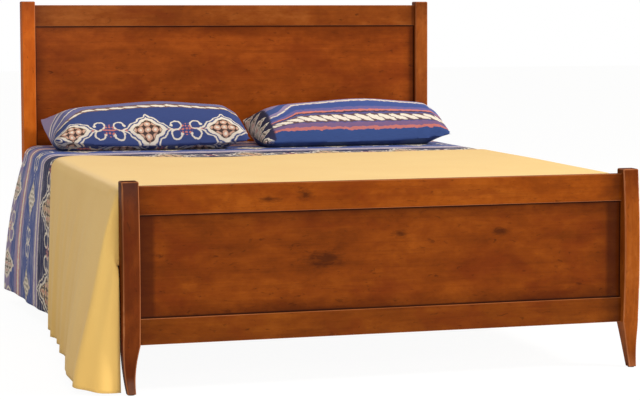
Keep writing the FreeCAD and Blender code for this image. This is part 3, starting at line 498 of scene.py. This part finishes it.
# The mattress: a sprung mattress in quilted damask ticking, its top and bottom
# panels sewn to the border with a corded edge.
mattress_low, mattress_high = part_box("mattress")
mattress_cloth = ticking("mattress_ticking", tint(236, 232, 224), tint(176, 182, 192), 0.03)
mattress = soft_block("mattress_quilted", "mattress", 0.07, 0.030, 0.010, 0.006, 0.20, 0.001)
mattress.data.materials.append(mattress_cloth)
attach(mattress, "mattress")
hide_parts("mattress")
for side, height in (("top", mattress_high.z - 0.026), ("bottom", mattress_low.z + 0.026)):
    seam = corded_seam("mattress_cord_" + side, "mattress", height, 0.068, 0.004, 0.0065)
    seam.data.materials.append(mattress_cloth)
    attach(seam, "mattress")


# The bed cover: one cotton sheet with a woven border pattern, laid over the
# mattress and hanging down both sides. It hangs nearly straight in the middle
# of the bed and swings out at the head, and it hangs lower at the left.
def eased(share):
    share = np.clip(share, 0, 1)
    return share * share * (3 - 2 * share)


def read_off(places, values, at, blur=0.0):
    spread = np.linspace(-blur, blur, 7) if blur else (0.0,)
    return sum(np.interp(at + d, places, values) for d in spread) / len(spread)


def top_lift(x, y):
    slow = np.sin(3.1 * x + 1.7 * y + 0.6) * np.sin(2.3 * y - 1.1 * x + 1.9)
    quick = np.sin(9.0 * x - 4.0 * y) * np.sin(7.0 * y + 3.0 * x + 0.8)
    return 0.0016 * (1 + slow) + 0.0005 * (1 + quick)


def hang(side, y, down, shoulder, hem_z, blur=0.08):
    if side < 0:
        reach = read_off((-0.95, -0.91, -0.65, -0.31, 0.27, 0.60, 1.02),
                         (0.940, 0.937, 0.895, 0.873, 0.850, 0.862, 0.894), y, blur)
        fold = (0.0050 * np.sin(13.0 * y + 0.6) + 0.0026 * np.sin(31.0 * y + 2.0)) * down
    else:
        reach = read_off((-1.0, 0.0, 1.0), (0.836, 0.834, 0.856), y, blur)
        fold = 0.0030 * np.sin(17.0 * y + 1.6) * down
    edge = read_off((0.3, 1.02), (0.828, 0.817), y)
    swing = 1 - (1 - down) ** 2
    x = edge + (reach - edge) * swing + fold
    z = shoulder - down * (shoulder - hem_z)
    if side < 0:
        corner = np.interp(z, (0.022, 0.060, 0.458, 0.565), (0.941, 0.940, 0.857, 0.826))
        x += (corner - x) * eased((-0.50 - y) / 0.50)
    return side * x, z


def cross_section(y, top, shoulder, hem_left, hem_right, rows, inset):
    points = []
    for side, hem_z, number in ((-1, hem_left, rows[0]), (1, hem_right, rows[2])):
        arm = []
        for step in range(number, 0, -1):
            down = np.full_like(y, step / number)
            x, z = hang(side, y, down, shoulder, hem_z)
            arm.append(np.stack((x - side * inset, y, z), axis=-1))
        edge = read_off((0.3, 1.02), (0.828, 0.817), y) - inset
        flat = edge - 0.05
        for step in range(rows[3] + 1):
            turn = 0.5 * math.pi * step / rows[3]
            x = flat + (edge - flat) * math.cos(turn)
            z = shoulder + (top - shoulder) * math.sin(turn) + top_lift(side * x, y) * math.sin(turn)
            arm.append(np.stack((side * x, y, z), axis=-1))
        points.append(arm)
    left, right = points
    middle = []
    for step in range(1, rows[1]):
        x = left[-1][:, 0] + (right[-1][:, 0] - left[-1][:, 0]) * step / rows[1]
        middle.append(np.stack((x, y, top + top_lift(x, y)), axis=-1))
    return np.array(left + middle + right[::-1])


def woven_sheet(name, points, along, thickness, material):
    rows, columns = points.shape[:2]
    step = np.linalg.norm(np.diff(points, axis=0), axis=2)
    across = np.concatenate((np.zeros((1, columns)), np.cumsum(step, axis=0)))
    across -= across[rows // 2]
    faces = [(i * columns + j, i * columns + j + 1, (i + 1) * columns + j + 1, (i + 1) * columns + j)
             for i in range(rows - 1) for j in range(columns - 1)]
    mesh = bpy.data.meshes.new(name)
    mesh.from_pydata(points.reshape(-1, 3).tolist(), [], faces)
    uv = mesh.uv_layers.new(name="cloth")
    corner = np.array(faces).ravel()
    along = np.broadcast_to(along, (rows, columns))
    uv.data.foreach_set("uv", np.stack((across.ravel()[corner], along.ravel()[corner]), axis=-1).ravel())
    piece = bpy.data.objects.new(name, mesh)
    bpy.context.scene.collection.objects.link(piece)
    piece.data.materials.append(material)
    bpy.ops.object.select_all(action="DESELECT")
    piece.select_set(True)
    bpy.context.view_layer.objects.active = piece
    solid = piece.modifiers.new("cloth", "SOLIDIFY")
    solid.thickness = thickness
    solid.offset = -1
    bpy.ops.object.modifier_apply(modifier="cloth")
    bpy.ops.object.shade_smooth()
    return piece


def cloth_places(name, drift_by):
    material, tree, shader = new_finish(name, 0.82, 0.10)
    uv = add_node(tree, "ShaderNodeUVMap", uv_map="cloth").outputs[0]
    drift = add_node(tree, "ShaderNodeTexNoise", {"Vector": uv, "Scale": 60.0, "Detail": 2.0})
    moved = add_node(tree, "ShaderNodeVectorMath", {
        0: drift.outputs["Color"], 1: (drift_by, drift_by, 0.0), 2: uv}, operation="MULTIPLY_ADD")
    part = add_node(tree, "ShaderNodeSeparateXYZ", {0: moved.outputs[0]})
    return material, tree, shader, uv, part.outputs[0], part.outputs[1]


def within(tree, value, limit, soft=0.0010):
    return span(tree, value, limit - soft, limit + soft, 1.0, 0.0)


def both(tree, first, second):
    return sum_of(tree, "MULTIPLY", first, second)


def either(tree, first, second):
    return sum_of(tree, "MAXIMUM", first, second)


def motif_place(tree, u, v, repeat, shift, middle):
    turn = sum_of(tree, "FRACT", sum_of(tree, "DIVIDE", sum_of(tree, "ADD", u, shift), repeat))
    x = sum_of(tree, "MULTIPLY", sum_of(tree, "SUBTRACT", turn, 0.5), repeat)
    return x, sum_of(tree, "SUBTRACT", v, middle)


def distance(tree, x, y, spot):
    place = add_node(tree, "ShaderNodeCombineXYZ", {0: x, 1: y}).outputs[0]
    node = add_node(
        tree, "ShaderNodeVectorMath", {0: place, 1: (spot[0], spot[1], 0)}, operation="DISTANCE")
    return node.outputs["Value"]


def dotted(tree, x, y, pitch_x, pitch_y, size):
    near_x = sum_of(tree, "WRAP", x, pitch_x / 2, -pitch_x / 2)
    near_y = sum_of(tree, "WRAP", y, pitch_y / 2, -pitch_y / 2)
    return within(tree, distance(tree, near_x, near_y, (0, 0)), size)


def medallion(tree, colour, place, along, across, rings, rosette=None):
    x, y = place
    right = sum_of(tree, "DIVIDE", sum_of(tree, "ABSOLUTE", x), along)
    up = sum_of(tree, "DIVIDE", sum_of(tree, "ABSOLUTE", y), across)
    wave = sum_of(tree, "COSINE", sum_of(tree, "MULTIPLY", sum_of(tree, "SUBTRACT", right, up), 9.4))
    edge = sum_of(tree, "ADD", sum_of(tree, "ADD", right, up), sum_of(tree, "MULTIPLY", wave, 0.035))
    for outer, inner, ink in rings:
        ring = both(tree, within(tree, edge, outer, 0.02), span(tree, edge, inner - 0.02, inner + 0.02))
        colour = mixed(tree, ring, colour, ink)
    if rosette:
        limit, pitch, size, ink, core = rosette
        dots = both(tree, dotted(tree, x, y, pitch, pitch, size), within(tree, edge, limit, 0.02))
        colour = mixed(tree, dots, colour, ink)
        dots = both(tree, dotted(tree, x, y, pitch, pitch, size * 0.45), within(tree, edge, limit, 0.02))
        colour = mixed(tree, dots, colour, core)
    return colour


def scroll_pair(tree, colour, place, reach, bend, stroke, ink, berry):
    x, y = place
    x = sum_of(tree, "SUBTRACT", sum_of(tree, "ABSOLUTE", x), reach)
    mask = None
    for side in (1, -1):
        from_middle = distance(tree, x, y, (0, side * bend))
        off = sum_of(tree, "ABSOLUTE", sum_of(tree, "SUBTRACT", from_middle, bend))
        open_x = span(tree, sum_of(tree, "MULTIPLY", x, side), -0.0005, 0.0005, 1.0, 0.0)
        open_y = span(tree, sum_of(tree, "MULTIPLY", y, side), bend - 0.0005, bend + 0.0005)
        arm = both(tree, within(tree, off, stroke), either(tree, open_x, open_y))
        knob = distance(tree, x, y, (side * bend, side * bend))
        arm = either(tree, arm, within(tree, knob, stroke * 2.1))
        mask = arm if mask is None else either(tree, mask, arm)
    colour = mixed(tree, mask, colour, ink)
    heart = within(tree, distance(tree, place[0], y, (0, 0)), reach * 0.72)
    return mixed(tree, both(tree, heart, dotted(tree, place[0], y, 0.013, 0.013, 0.0042)), colour, berry)


def links(tree, colour, u, v, middle, ink):
    line = within(tree, sum_of(tree, "ABSOLUTE", sum_of(tree, "SUBTRACT", v, middle)), 0.0035)
    bead = sum_of(tree, "ABSOLUTE", sum_of(tree, "WRAP", u, 0.007, -0.007))
    return mixed(tree, both(tree, line, within(tree, bead, 0.004)), colour, ink)


def twisted_line(tree, colour, u, v, middle, half, pitch, ink, gap):
    y = sum_of(tree, "SUBTRACT", v, middle)
    slant = sum_of(tree, "ADD", u, sum_of(tree, "MULTIPLY", y, 1.5))
    x = sum_of(tree, "WRAP", slant, pitch / 2, -pitch / 2)
    strand = distance(
        tree, sum_of(tree, "DIVIDE", x, pitch * 0.47), sum_of(tree, "DIVIDE", y, half), (0, 0))
    colour = mixed(tree, within(tree, sum_of(tree, "ABSOLUTE", y), half * 1.15), colour, gap)
    return mixed(tree, within(tree, strand, 0.95, 0.08), colour, ink)


def woven(tree, shader, uv, colour, dark):
    thread = add_node(tree, "ShaderNodeTexNoise", {"Vector": uv, "Scale": 900.0, "Detail": 2.0})
    stretch = add_node(tree, "ShaderNodeMapping", {"Vector": uv, "Scale": (1.0, 14.0, 1.0)})
    slub = add_node(tree, "ShaderNodeTexNoise", {
        "Vector": stretch.outputs[0], "Scale": 40.0, "Detail": 3.0})
    colour = mixed(tree, span(tree, slub.outputs["Fac"], 0.40, 0.75, 0.0, 0.22), colour, dark)
    colour = mixed(tree, span(tree, thread.outputs["Fac"], 0.35, 0.7, 0.0, 0.14), colour, dark)
    tree.links.new(colour, shader.inputs["Base Color"])
    bump = add_node(tree, "ShaderNodeBump", {
        "Height": thread.outputs["Fac"], "Strength": 0.25, "Distance": 0.0005})
    tree.links.new(bump.outputs[0], shader.inputs["Normal"])
    shader.inputs["Sheen Weight"].default_value = 0.04


navy, blue, mauve = tint(36, 38, 74), tint(90, 104, 162), tint(160, 144, 182)
cream, rose, olive = tint(250, 238, 220), tint(216, 128, 116), tint(78, 60, 40)
sand = tint(206, 190, 160)
cover_cloth, tree, shader, uv, u, v = cloth_places("cover_cloth", 0.020)
border_middle, border_reach = 0.30, 0.78
t = sum_of(tree, "PINGPONG", sum_of(tree, "SUBTRACT", v, border_middle), border_reach)
share = sum_of(tree, "DIVIDE", t, border_reach)
colour = ramp(tree, share, tuple((place / border_reach, ink) for place, ink in (
    (0.0, navy), (0.135, mauve), (0.145, cream), (0.158, mauve), (0.195, cream), (0.208, mauve),
    (0.225, blue),
    (0.255, tint(76, 94, 160)), (0.435, blue), (0.465, mauve), (0.495, rose), (0.505, cream), (0.533, rose),
    (0.543, mauve), (0.595, blue), (0.650, mauve),
)), "CONSTANT")
colour = links(tree, colour, u, t, 0.0, rose)
place = motif_place(tree, u, t, 0.295, 0.01, 0.0)
colour = scroll_pair(tree, colour, place, 0.040, 0.026, 0.0042, cream, rose)
colour = medallion(tree, colour, motif_place(tree, u, t, 0.295, 0.1575, 0.0), 0.092, 0.150, (
    (1.0, 0.92, cream), (0.80, 0.0, cream), (0.68, 0.0, olive)),
    (0.62, 0.030, 0.0132, tint(240, 208, 166), rose))
colour = links(tree, colour, u, t, 0.345, cream)
place = motif_place(tree, u, t, 0.32, 0.245, 0.345)
colour = scroll_pair(tree, colour, place, 0.026, 0.024, 0.0042, cream, cream)
colour = medallion(tree, colour, motif_place(tree, u, t, 0.32, 0.085, 0.345), 0.066, 0.082, (
    (1.0, 0.0, sand), (0.88, 0.0, cream)), (0.80, 0.018, 0.0050, olive, olive))
place = motif_place(tree, u, t, 0.29, 0.0, 0.690)
colour = scroll_pair(tree, colour, place, 0.030, 0.026, 0.0052, cream, rose)
colour = medallion(tree, colour, motif_place(tree, u, t, 0.29, 0.145, 0.690), 0.062, 0.085, (
    (1.0, 0.0, cream), (0.72, 0.0, olive)), (0.68, 0.026, 0.0120, cream, rose))
# Painted sheen: pale streaks along the warp on the hanging sides, where the cloth catches the light.
warp = add_node(tree, "ShaderNodeMapping", {"Vector": uv, "Scale": (7.0, 55.0, 1.0)})
sheen_streak_noise = add_node(tree, "ShaderNodeTexNoise", {
    "Vector": warp.outputs[0], "Scale": 1.6, "Detail": 5.0, "Roughness": 0.65})
aside = span(tree, sum_of(tree, "ABSOLUTE", u), 0.70, 0.80)
painted_sheen_streaks = both(tree, aside, span(tree, sheen_streak_noise.outputs["Fac"], 0.50, 0.68, 0.0, 0.60))
colour = mixed(tree, painted_sheen_streaks, colour, tint(226, 220, 230))
woven(tree, shader, uv, colour, navy)
cover_head, cover_foot, cover_inset = 1.020, -1.006, 0.0075
cover_top, cover_shoulder, left_hem, right_hem = 0.5970, 0.560, 0.052, 0.167
cover_y = np.linspace(cover_head, cover_foot, 148)
cover_points = cross_section(
    cover_y, cover_top, cover_shoulder, left_hem, right_hem, (44, 116, 32, 6), cover_inset)
ahead = eased((cover_y - 0.30) / 0.12)[None, :]
rows = cover_points.shape[0]
side = np.where(np.arange(rows) < rows // 2, -1, 1)[:, None]
outside = np.abs(cover_points[:, :, 0]) > 0.74
cover_points[:, :, 0] += side * 0.0060 * ahead * outside
hanging = (side > 0) & (np.abs(cover_points[:, :, 0]) > 0.80)
cover_points[:, :, 0] -= 0.0065 * eased((-0.45 - cover_y) / 0.35)[None, :] * hanging
drop = np.clip((0.562 - cover_points[:, :, 2]) / 0.51, 0, 1)
cover_points[:, :, 1] += 0.085 * drop * eased((-0.55 - cover_points[:, :, 1]) / 0.45)
cover = woven_sheet("bed_cover_cloth", cover_points, cover_y, 0.0018, cover_cloth)
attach(cover, "mattress")
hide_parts("bed_cover")


# The blanket: a plain yellow cotton blanket over the lower two thirds of the
# bed. It is tucked down inside the footboard, hangs to the floor at the left,
# and its free corner swings out round the post in one deep fold.
def plain_cloth(name):
    material, tree, shader = new_finish(name, 0.88, 0.1)
    uv = add_node(tree, "ShaderNodeUVMap", uv_map="cloth").outputs[0]
    weave = add_node(tree, "ShaderNodeTexNoise", {"Vector": uv, "Scale": 1100.0, "Detail": 2.0})
    cloud = add_node(tree, "ShaderNodeTexNoise", {"Vector": uv, "Scale": 3.0, "Detail": 3.0})
    colour = ramp(tree, cloud.outputs["Fac"], ((0.3, tint(244, 201, 116)), (0.7, tint(248, 208, 124))))
    colour = mixed(tree, span(tree, weave.outputs["Fac"], 0.35, 0.7, 0.0, 0.35), colour, tint(224, 178, 92))
    tree.links.new(colour, shader.inputs["Base Color"])
    bump = add_node(tree, "ShaderNodeBump", {
        "Height": weave.outputs["Fac"], "Strength": 0.3, "Distance": 0.0006})
    tree.links.new(bump.outputs[0], shader.inputs["Normal"])
    shader.inputs["Sheen Weight"].default_value = 0.22
    return material


blanket_cloth = plain_cloth("blanket_cloth")
blanket_rows = (46, 124, 34, 6)
along_count, tuck_count = 100, 24
head_edge, foot_line, tuck_face, tuck_end = 0.280, -1.003, -1.0205, 0.36
blanket_top, blanket_shoulder = 0.6000, 0.563
blanket_y = np.linspace(head_edge, foot_line, along_count + 1)
body = cross_section(blanket_y, blanket_top, blanket_shoulder, 0.025, 0.160, blanket_rows, 0.0)
rows = body.shape[0]
ridges = {
    -1: ((0.0, 0.196, 0.935, 1.0), (-0.826, -0.857, -0.940, -0.941), (-1.003, -1.000, -0.950, -0.948),
         (0.565, 0.458, 0.060, 0.022)),
    1: ((0.0, 0.3, 0.8, 1.0), (0.826, 0.829, 0.831, 0.831), (-1.003, -0.994, -0.985, -0.980),
        (0.565, 0.444, 0.241, 0.160)),
}
ends = {
    -1: ((0.0, 0.10, 0.17, 0.25, 0.35, 0.6, 0.85, 1.0),
         (-0.762, -0.795, -0.8210, -0.8205, -0.8205, -0.8205, -0.8205, -0.8200),
         (tuck_face, tuck_face, -1.0255, -1.0370, -1.0460, -1.0510, -1.0545, -1.0580),
         (0.360, 0.372, 0.376, 0.368, 0.335, 0.200, 0.080, 0.0045)),
    1: ((0.0, 0.2, 0.35, 1.0), (0.762, 0.795, 0.822, 0.825), (tuck_face, tuck_face, tuck_face, -1.021),
        (0.360, 0.372, 0.360, 0.165)),
}
tuck = np.zeros((rows, tuck_count, 3))
for side, hang_rows in ((-1, blanket_rows[0]), (1, blanket_rows[2])):
    for step in range(hang_rows, -1, -1):
        down = step / hang_rows
        row = hang_rows - step if side < 0 else rows - 1 - (hang_rows - step)
        ridge = np.array([np.interp(down, ridges[side][0], column) for column in ridges[side][1:]])
        end = np.array([np.interp(down, ends[side][0], column) for column in ends[side][1:]])
        near = eased((-0.50 - blanket_y) / 0.50)
        run = (head_edge - blanket_y) / (head_edge - foot_line)
        body[row, :, 1] = head_edge + (ridge[1] - head_edge) * run
        body[row, :, 0] += (ridge[0] - body[row, -1, 0]) * near
        body[row, :, 2] += (ridge[2] - body[row, -1, 2]) * near
        if side < 0:
            wide_folds = 0.0045 * (1 + np.sin(26 * blanket_y + 1))
            small_folds = 0.0030 * (1 + np.sin(57 * blanket_y + 2.2 - 2 * down))
            body[row, :, 0] -= down * (wide_folds + small_folds) * (1 - near)
        swell = (0.060 if side < 0 else 0.003) * eased((down - 0.2) / 0.8)
        for k in range(tuck_count):
            b = (k + 1) / tuck_count
            spot = ridge + (end - ridge) * b
            puff = swell * math.sin(math.pi * b) ** 0.85
            ripple = 0.010 * down * math.sin(3 * math.pi * b) * (1 if side < 0 else 0)
            spot += np.array((side * 0.72, -0.69, 0.0)) * (puff + ripple)
            tuck[row, k] = spot
top_rows = range(blanket_rows[0] + 1, rows - blanket_rows[2] - 1)
radius = foot_line - tuck_face
for row in top_rows:
    x0, z0 = body[row, -1, 0], body[row, -1, 2]
    end_x = max(-0.762, min(0.762, x0))
    for k in range(tuck_count):
        b = (k + 1) / tuck_count
        travel = b * (z0 - tuck_end + radius * (math.pi / 2 - 1))
        if travel < radius * math.pi / 2:
            turn = travel / radius
            y, z = foot_line - radius * math.sin(turn), z0 - radius * (1 - math.cos(turn))
        else:
            y, z = tuck_face, z0 - radius - (travel - radius * math.pi / 2)
        tuck[row, k] = (x0 + (end_x - x0) * eased(b / 0.5), y, z)
points = np.concatenate((body, tuck), axis=1)
edge_x = (-0.86, -0.83, -0.80, -0.76, -0.73, -0.68, -0.57, -0.50, -0.43, -0.36,
          -0.28, -0.17, -0.05, 0.07, 0.22, 0.37, 0.53, 0.75, 0.86)
edge_line = (0.11, 0.24, 0.30, 0.35, 0.385, 0.390, 0.318, 0.258, 0.212, 0.178,
             0.152, 0.157, 0.190, 0.224, 0.233, 0.226, 0.240, 0.262, 0.270)
edge_y = read_off(edge_x, edge_line, points[:, :1, 0], 0.02)
points[:, :, 1] += (edge_y - head_edge) * eased((points[:, :, 1] + 0.35) / 0.63)
turning = np.zeros(points.shape[:2])
turning[: blanket_rows[0] + 8, along_count - 8:] = 1
turning[-blanket_rows[2] - 8:, along_count - 8: along_count + 9] = 1
for _ in range(5):
    middle = points.copy()
    middle[1:-1, 1:-1] = (points[:-2, 1:-1] + points[2:, 1:-1] + points[1:-1, :-2] + points[1:-1, 2:]) / 4
    points += (middle - points) * 0.6 * turning[:, :, None]
along = np.concatenate((blanket_y, foot_line - 0.24 * np.arange(1, tuck_count + 1) / tuck_count))
blanket = woven_sheet("blanket_cloth_piece", points, along, 0.0026, blanket_cloth)
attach(blanket, "mattress")
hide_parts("blanket")


# The pillows: two soft pillows in slips of the same patterned cloth, lying on
# the cover before the headboard. Each slip is sewn round four corners, filled,
# and lies flat underneath; its pattern runs over the front and round the ends.
def pillow_shape(name, corners, front, back, crown, waist, bend, tilt, material):
    rest_height, bed_line, voxel, farthest = 0.6005, 0.6003, 0.008, 0.008
    centre = sum((Vector(corner) for corner in corners), Vector()) / 4
    across, along = 72, 52
    s, t = np.meshgrid(np.linspace(-1, 1, across + 1), np.linspace(-1, 1, along + 1), indexing="ij")
    near_left, near_right, far_left, far_right = (np.array(corner) for corner in corners)
    share_s, share_t = (s[..., None] + 1) / 2, (t[..., None] + 1) / 2
    seam = (near_left * (1 - share_s) + near_right * share_s) * (1 - share_t) + (
        far_left * (1 - share_s) + far_right * share_s) * share_t
    level = front + (back - front) * share_t[..., 0] ** 1.4
    seam[..., 2] = level + (seam[..., 2] - level) * (s * s * t * t) ** 1.3
    seam[..., 2] += 0.055 * np.clip((1 + s) / 2, 0, 1) ** 7 * (1 - t * t)
    seam[..., 0] -= s * np.where(s < 0, *waist) * (1 - t * t)
    seam[..., 1] -= t * 0.012 * (1 - s * s)
    dome = np.maximum(0, 1 - np.abs(s) ** np.where(s < 0, 4.2, 3.0)) ** 0.45
    dome = dome * np.maximum(0, 1 - np.abs(t) ** 1.65)
    upper, lower = seam.copy(), seam.copy()
    upper[..., 2] += dome * crown * (1 + 0.05 * np.sin(5 * s + 1) * np.cos(3 * t))
    lower[..., 2] = np.maximum(rest_height, lower[..., 2] - 0.11 * dome ** 1.5)
    rows = along + 1
    faces = []
    for start, flip in ((0, 1), ((across + 1) * rows, -1)):
        for i in range(across):
            for j in range(along):
                ring = (start + i * rows + j, start + (i + 1) * rows + j, start + (i + 1) * rows + j + 1,
                        start + i * rows + j + 1)
                faces.append(ring[::flip])
    mesh = bpy.data.meshes.new(name)
    mesh.from_pydata(np.concatenate((upper.reshape(-1, 3), lower.reshape(-1, 3))).tolist(), [], faces)
    edit = bmesh.new()
    edit.from_mesh(mesh)
    bmesh.ops.remove_doubles(edit, verts=edit.verts, dist=1e-5)
    bmesh.ops.recalc_face_normals(edit, faces=edit.faces)
    edit.to_mesh(mesh)
    edit.free()
    piece = bpy.data.objects.new(name, mesh)
    bpy.context.scene.collection.objects.link(piece)
    bpy.ops.object.select_all(action="DESELECT")
    piece.select_set(True)
    bpy.context.view_layer.objects.active = piece
    remesh = piece.modifiers.new("remesh", "REMESH")
    remesh.mode = "VOXEL"
    remesh.voxel_size = voxel
    bpy.ops.object.modifier_apply(modifier="remesh")
    before = np.empty(len(piece.data.vertices) * 3)
    piece.data.vertices.foreach_get("co", before)
    cloth = piece.modifiers.new("cloth", "CLOTH")
    cloth.settings.use_pressure = True
    cloth.settings.uniform_pressure_force = 4
    cloth.settings.effector_weights.gravity = 0
    for moment in range(1, 21):
        bpy.context.scene.frame_set(moment)
    bpy.ops.object.modifier_apply(modifier="cloth")
    bpy.context.scene.frame_set(1)
    after = np.empty(len(piece.data.vertices) * 3)
    piece.data.vertices.foreach_get("co", after)
    move = (after - before).reshape(-1, 3)
    far = np.linalg.norm(move, axis=1, keepdims=True)
    move *= np.minimum(1, farthest / np.maximum(far, 1e-9))
    place = before.reshape(-1, 3) + move
    place[:, 2] = np.maximum(place[:, 2], bed_line)
    piece.data.vertices.foreach_set("co", place.ravel())
    finer = piece.modifiers.new("finer", "SUBSURF")
    finer.levels = finer.render_levels = 1
    bpy.ops.object.modifier_apply(modifier="finer")
    place = np.empty(len(piece.data.vertices) * 3)
    piece.data.vertices.foreach_get("co", place)
    place = place.reshape(-1, 3) - np.array(centre)
    u, v = place[:, 0], place[:, 1].copy()
    seam_height = front + (back - front) * np.clip(v / 0.45 + 0.5, 0, 1) ** 1.4 - centre[2]
    under = place[:, 2] < seam_height - 0.004
    columns = np.clip(((u + 0.42) / 0.84 * 60).astype(int), 0, 59)
    crest = np.zeros(60)
    np.maximum.at(crest, columns, place[:, 2])
    crest = np.convolve(np.pad(crest, 4, "edge"), np.ones(9) / 9, "valid")
    crest = np.interp(u, np.linspace(-0.413, 0.413, 60), crest)
    fall = np.where(under, 0.0, np.clip(crest - place[:, 2], 0, 0.12))
    v += 0.35 * fall * np.tanh(v / 0.06)
    v = np.where(under, np.sign(v) * 0.455 - v, v)
    curve = bend[0] * eased((bend[1] - u) / bend[2]) * eased((v + 0.19) / 0.15)
    v = np.where(under, v, v + tilt * (u + 0.05) + curve)
    piece.data.uv_layers.new(name="cloth")
    corner = np.empty(len(piece.data.loops), int)
    piece.data.loops.foreach_get("vertex_index", corner)
    piece.data.uv_layers["cloth"].data.foreach_set("uv", np.stack((u[corner], v[corner]), axis=-1).ravel())
    piece.data.materials.append(material)
    bpy.ops.object.shade_smooth()
    return piece


left_slip, tree, shader, uv, u, v = cloth_places("pillow_slip_left", 0.012)
colour = ramp(tree, span(tree, v, -0.5, 0.5), tuple((place + 0.5, ink) for place, ink in (
    (-0.5, tint(60, 76, 130)),
    (-0.044, tint(120, 92, 84)), (-0.038, cream), (-0.024, tint(120, 92, 84)),
    (-0.018, tint(120, 118, 162)),
    (0.020, cream), (0.028, tint(112, 112, 160)), (0.07, tint(206, 196, 208)), (0.09, tint(112, 112, 160)),
    (0.12, cream), (0.13, mauve),
)), "CONSTANT")
colour = twisted_line(tree, colour, u, v, -0.031, 0.0085, 0.052, cream, tint(140, 104, 92))
for row, shift in ((-0.166, 0.004), (-0.304, 0.100)):
    colour = links(tree, colour, u, v, row, rose)
    place = motif_place(tree, u, v, 0.285, shift, row)
    colour = scroll_pair(tree, colour, place, 0.036, 0.019, 0.0028, cream, rose)
    colour = medallion(tree, colour, motif_place(tree, u, v, 0.285, shift + 0.142, row), 0.094, 0.080, (
        (1.0, 0.91, cream), (0.82, 0.0, cream), (0.62, 0.0, olive)),
        (0.58, 0.027, 0.0120, tint(228, 178, 150), cream))
colour = medallion(tree, colour, motif_place(tree, u, v, 0.10, 0.03, 0.135), 0.045, 0.040, (
    (1.0, 0.0, cream), (0.70, 0.0, olive)), (0.62, 0.016, 0.0066, cream, rose))
# Painted shade: the slip darkens towards navy low on its front, where it turns under towards the bed.
colour = mixed(tree, span(tree, v, -0.10, -0.25, 0.0, 0.40), colour, navy)
woven(tree, shader, uv, colour, navy)

right_slip, tree, shader, uv, u, v = cloth_places("pillow_slip_right", 0.016)
colour = ramp(tree, span(tree, v, -0.5, 0.5), tuple((place + 0.5, ink) for place, ink in (
    (-0.5, tint(58, 84, 142)), (-0.180, rose), (-0.170, tint(134, 104, 142)), (-0.150, tint(92, 92, 150)),
    (-0.096, tint(70, 60, 80)), (-0.088, rose), (-0.078, tint(112, 104, 158)), (-0.055, tint(70, 90, 154)),
    (-0.015, mauve), (0.03, tint(74, 94, 156)), (0.08, mauve),
)), "CONSTANT")
colour = twisted_line(tree, colour, u, v, -0.123, 0.0190, 0.046, cream, tint(110, 84, 84))
colour = twisted_line(tree, colour, u, v, -0.005, 0.0085, 0.030, cream, mauve)
# Painted shade: a dark patch at this slip's left end, where it lies in shade beside the other pillow, with
# florets printed on it.
painted_shade_end_patch = both(tree, span(tree, u, -0.318, -0.326), span(tree, v, -0.215, -0.205))
colour = mixed(tree, painted_shade_end_patch, colour, tint(46, 44, 68))
knotted = medallion(tree, tint(46, 44, 68), motif_place(tree, v, u, 0.085, 0.0, -0.362), 0.038, 0.034, (
    (1.0, 0.0, cream), (0.74, 0.0, olive)), (0.66, 0.014, 0.0060, cream, rose))
colour = mixed(tree, painted_shade_end_patch, colour, knotted)
# Painted shade: the slip darkens towards navy low on its front, where it turns under towards the bed.
colour = mixed(tree, span(tree, v, -0.10, -0.25, 0.0, 0.40), colour, navy)
woven(tree, shader, uv, colour, navy)

for side, slip, corners, front, back, crown, waist, bend, tilt in (
    ("left", left_slip, (
        (-0.772, 0.590, 0.652), (-0.020, 0.552, 0.626), (-0.774, 1.000, 0.712), (-0.024, 0.970, 0.704)),
        0.617, 0.676, 0.119, (0.016, 0.004), (0.10, -0.21, 0.16), 0.05),
    ("right", right_slip, (
        (0.014, 0.570, 0.616), (0.784, 0.574, 0.636), (0.016, 0.985, 0.700), (0.796, 0.985, 0.684)),
        0.616, 0.672, 0.121, (0.003, 0.010), (0.09, -0.21, 0.10), 0.0),
):
    pillow = pillow_shape("pillow_" + side + "_slip", corners, front, back, crown, waist, bend, tilt, slip)
    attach(pillow, "pillow_" + side)
    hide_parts("pillow_" + side)
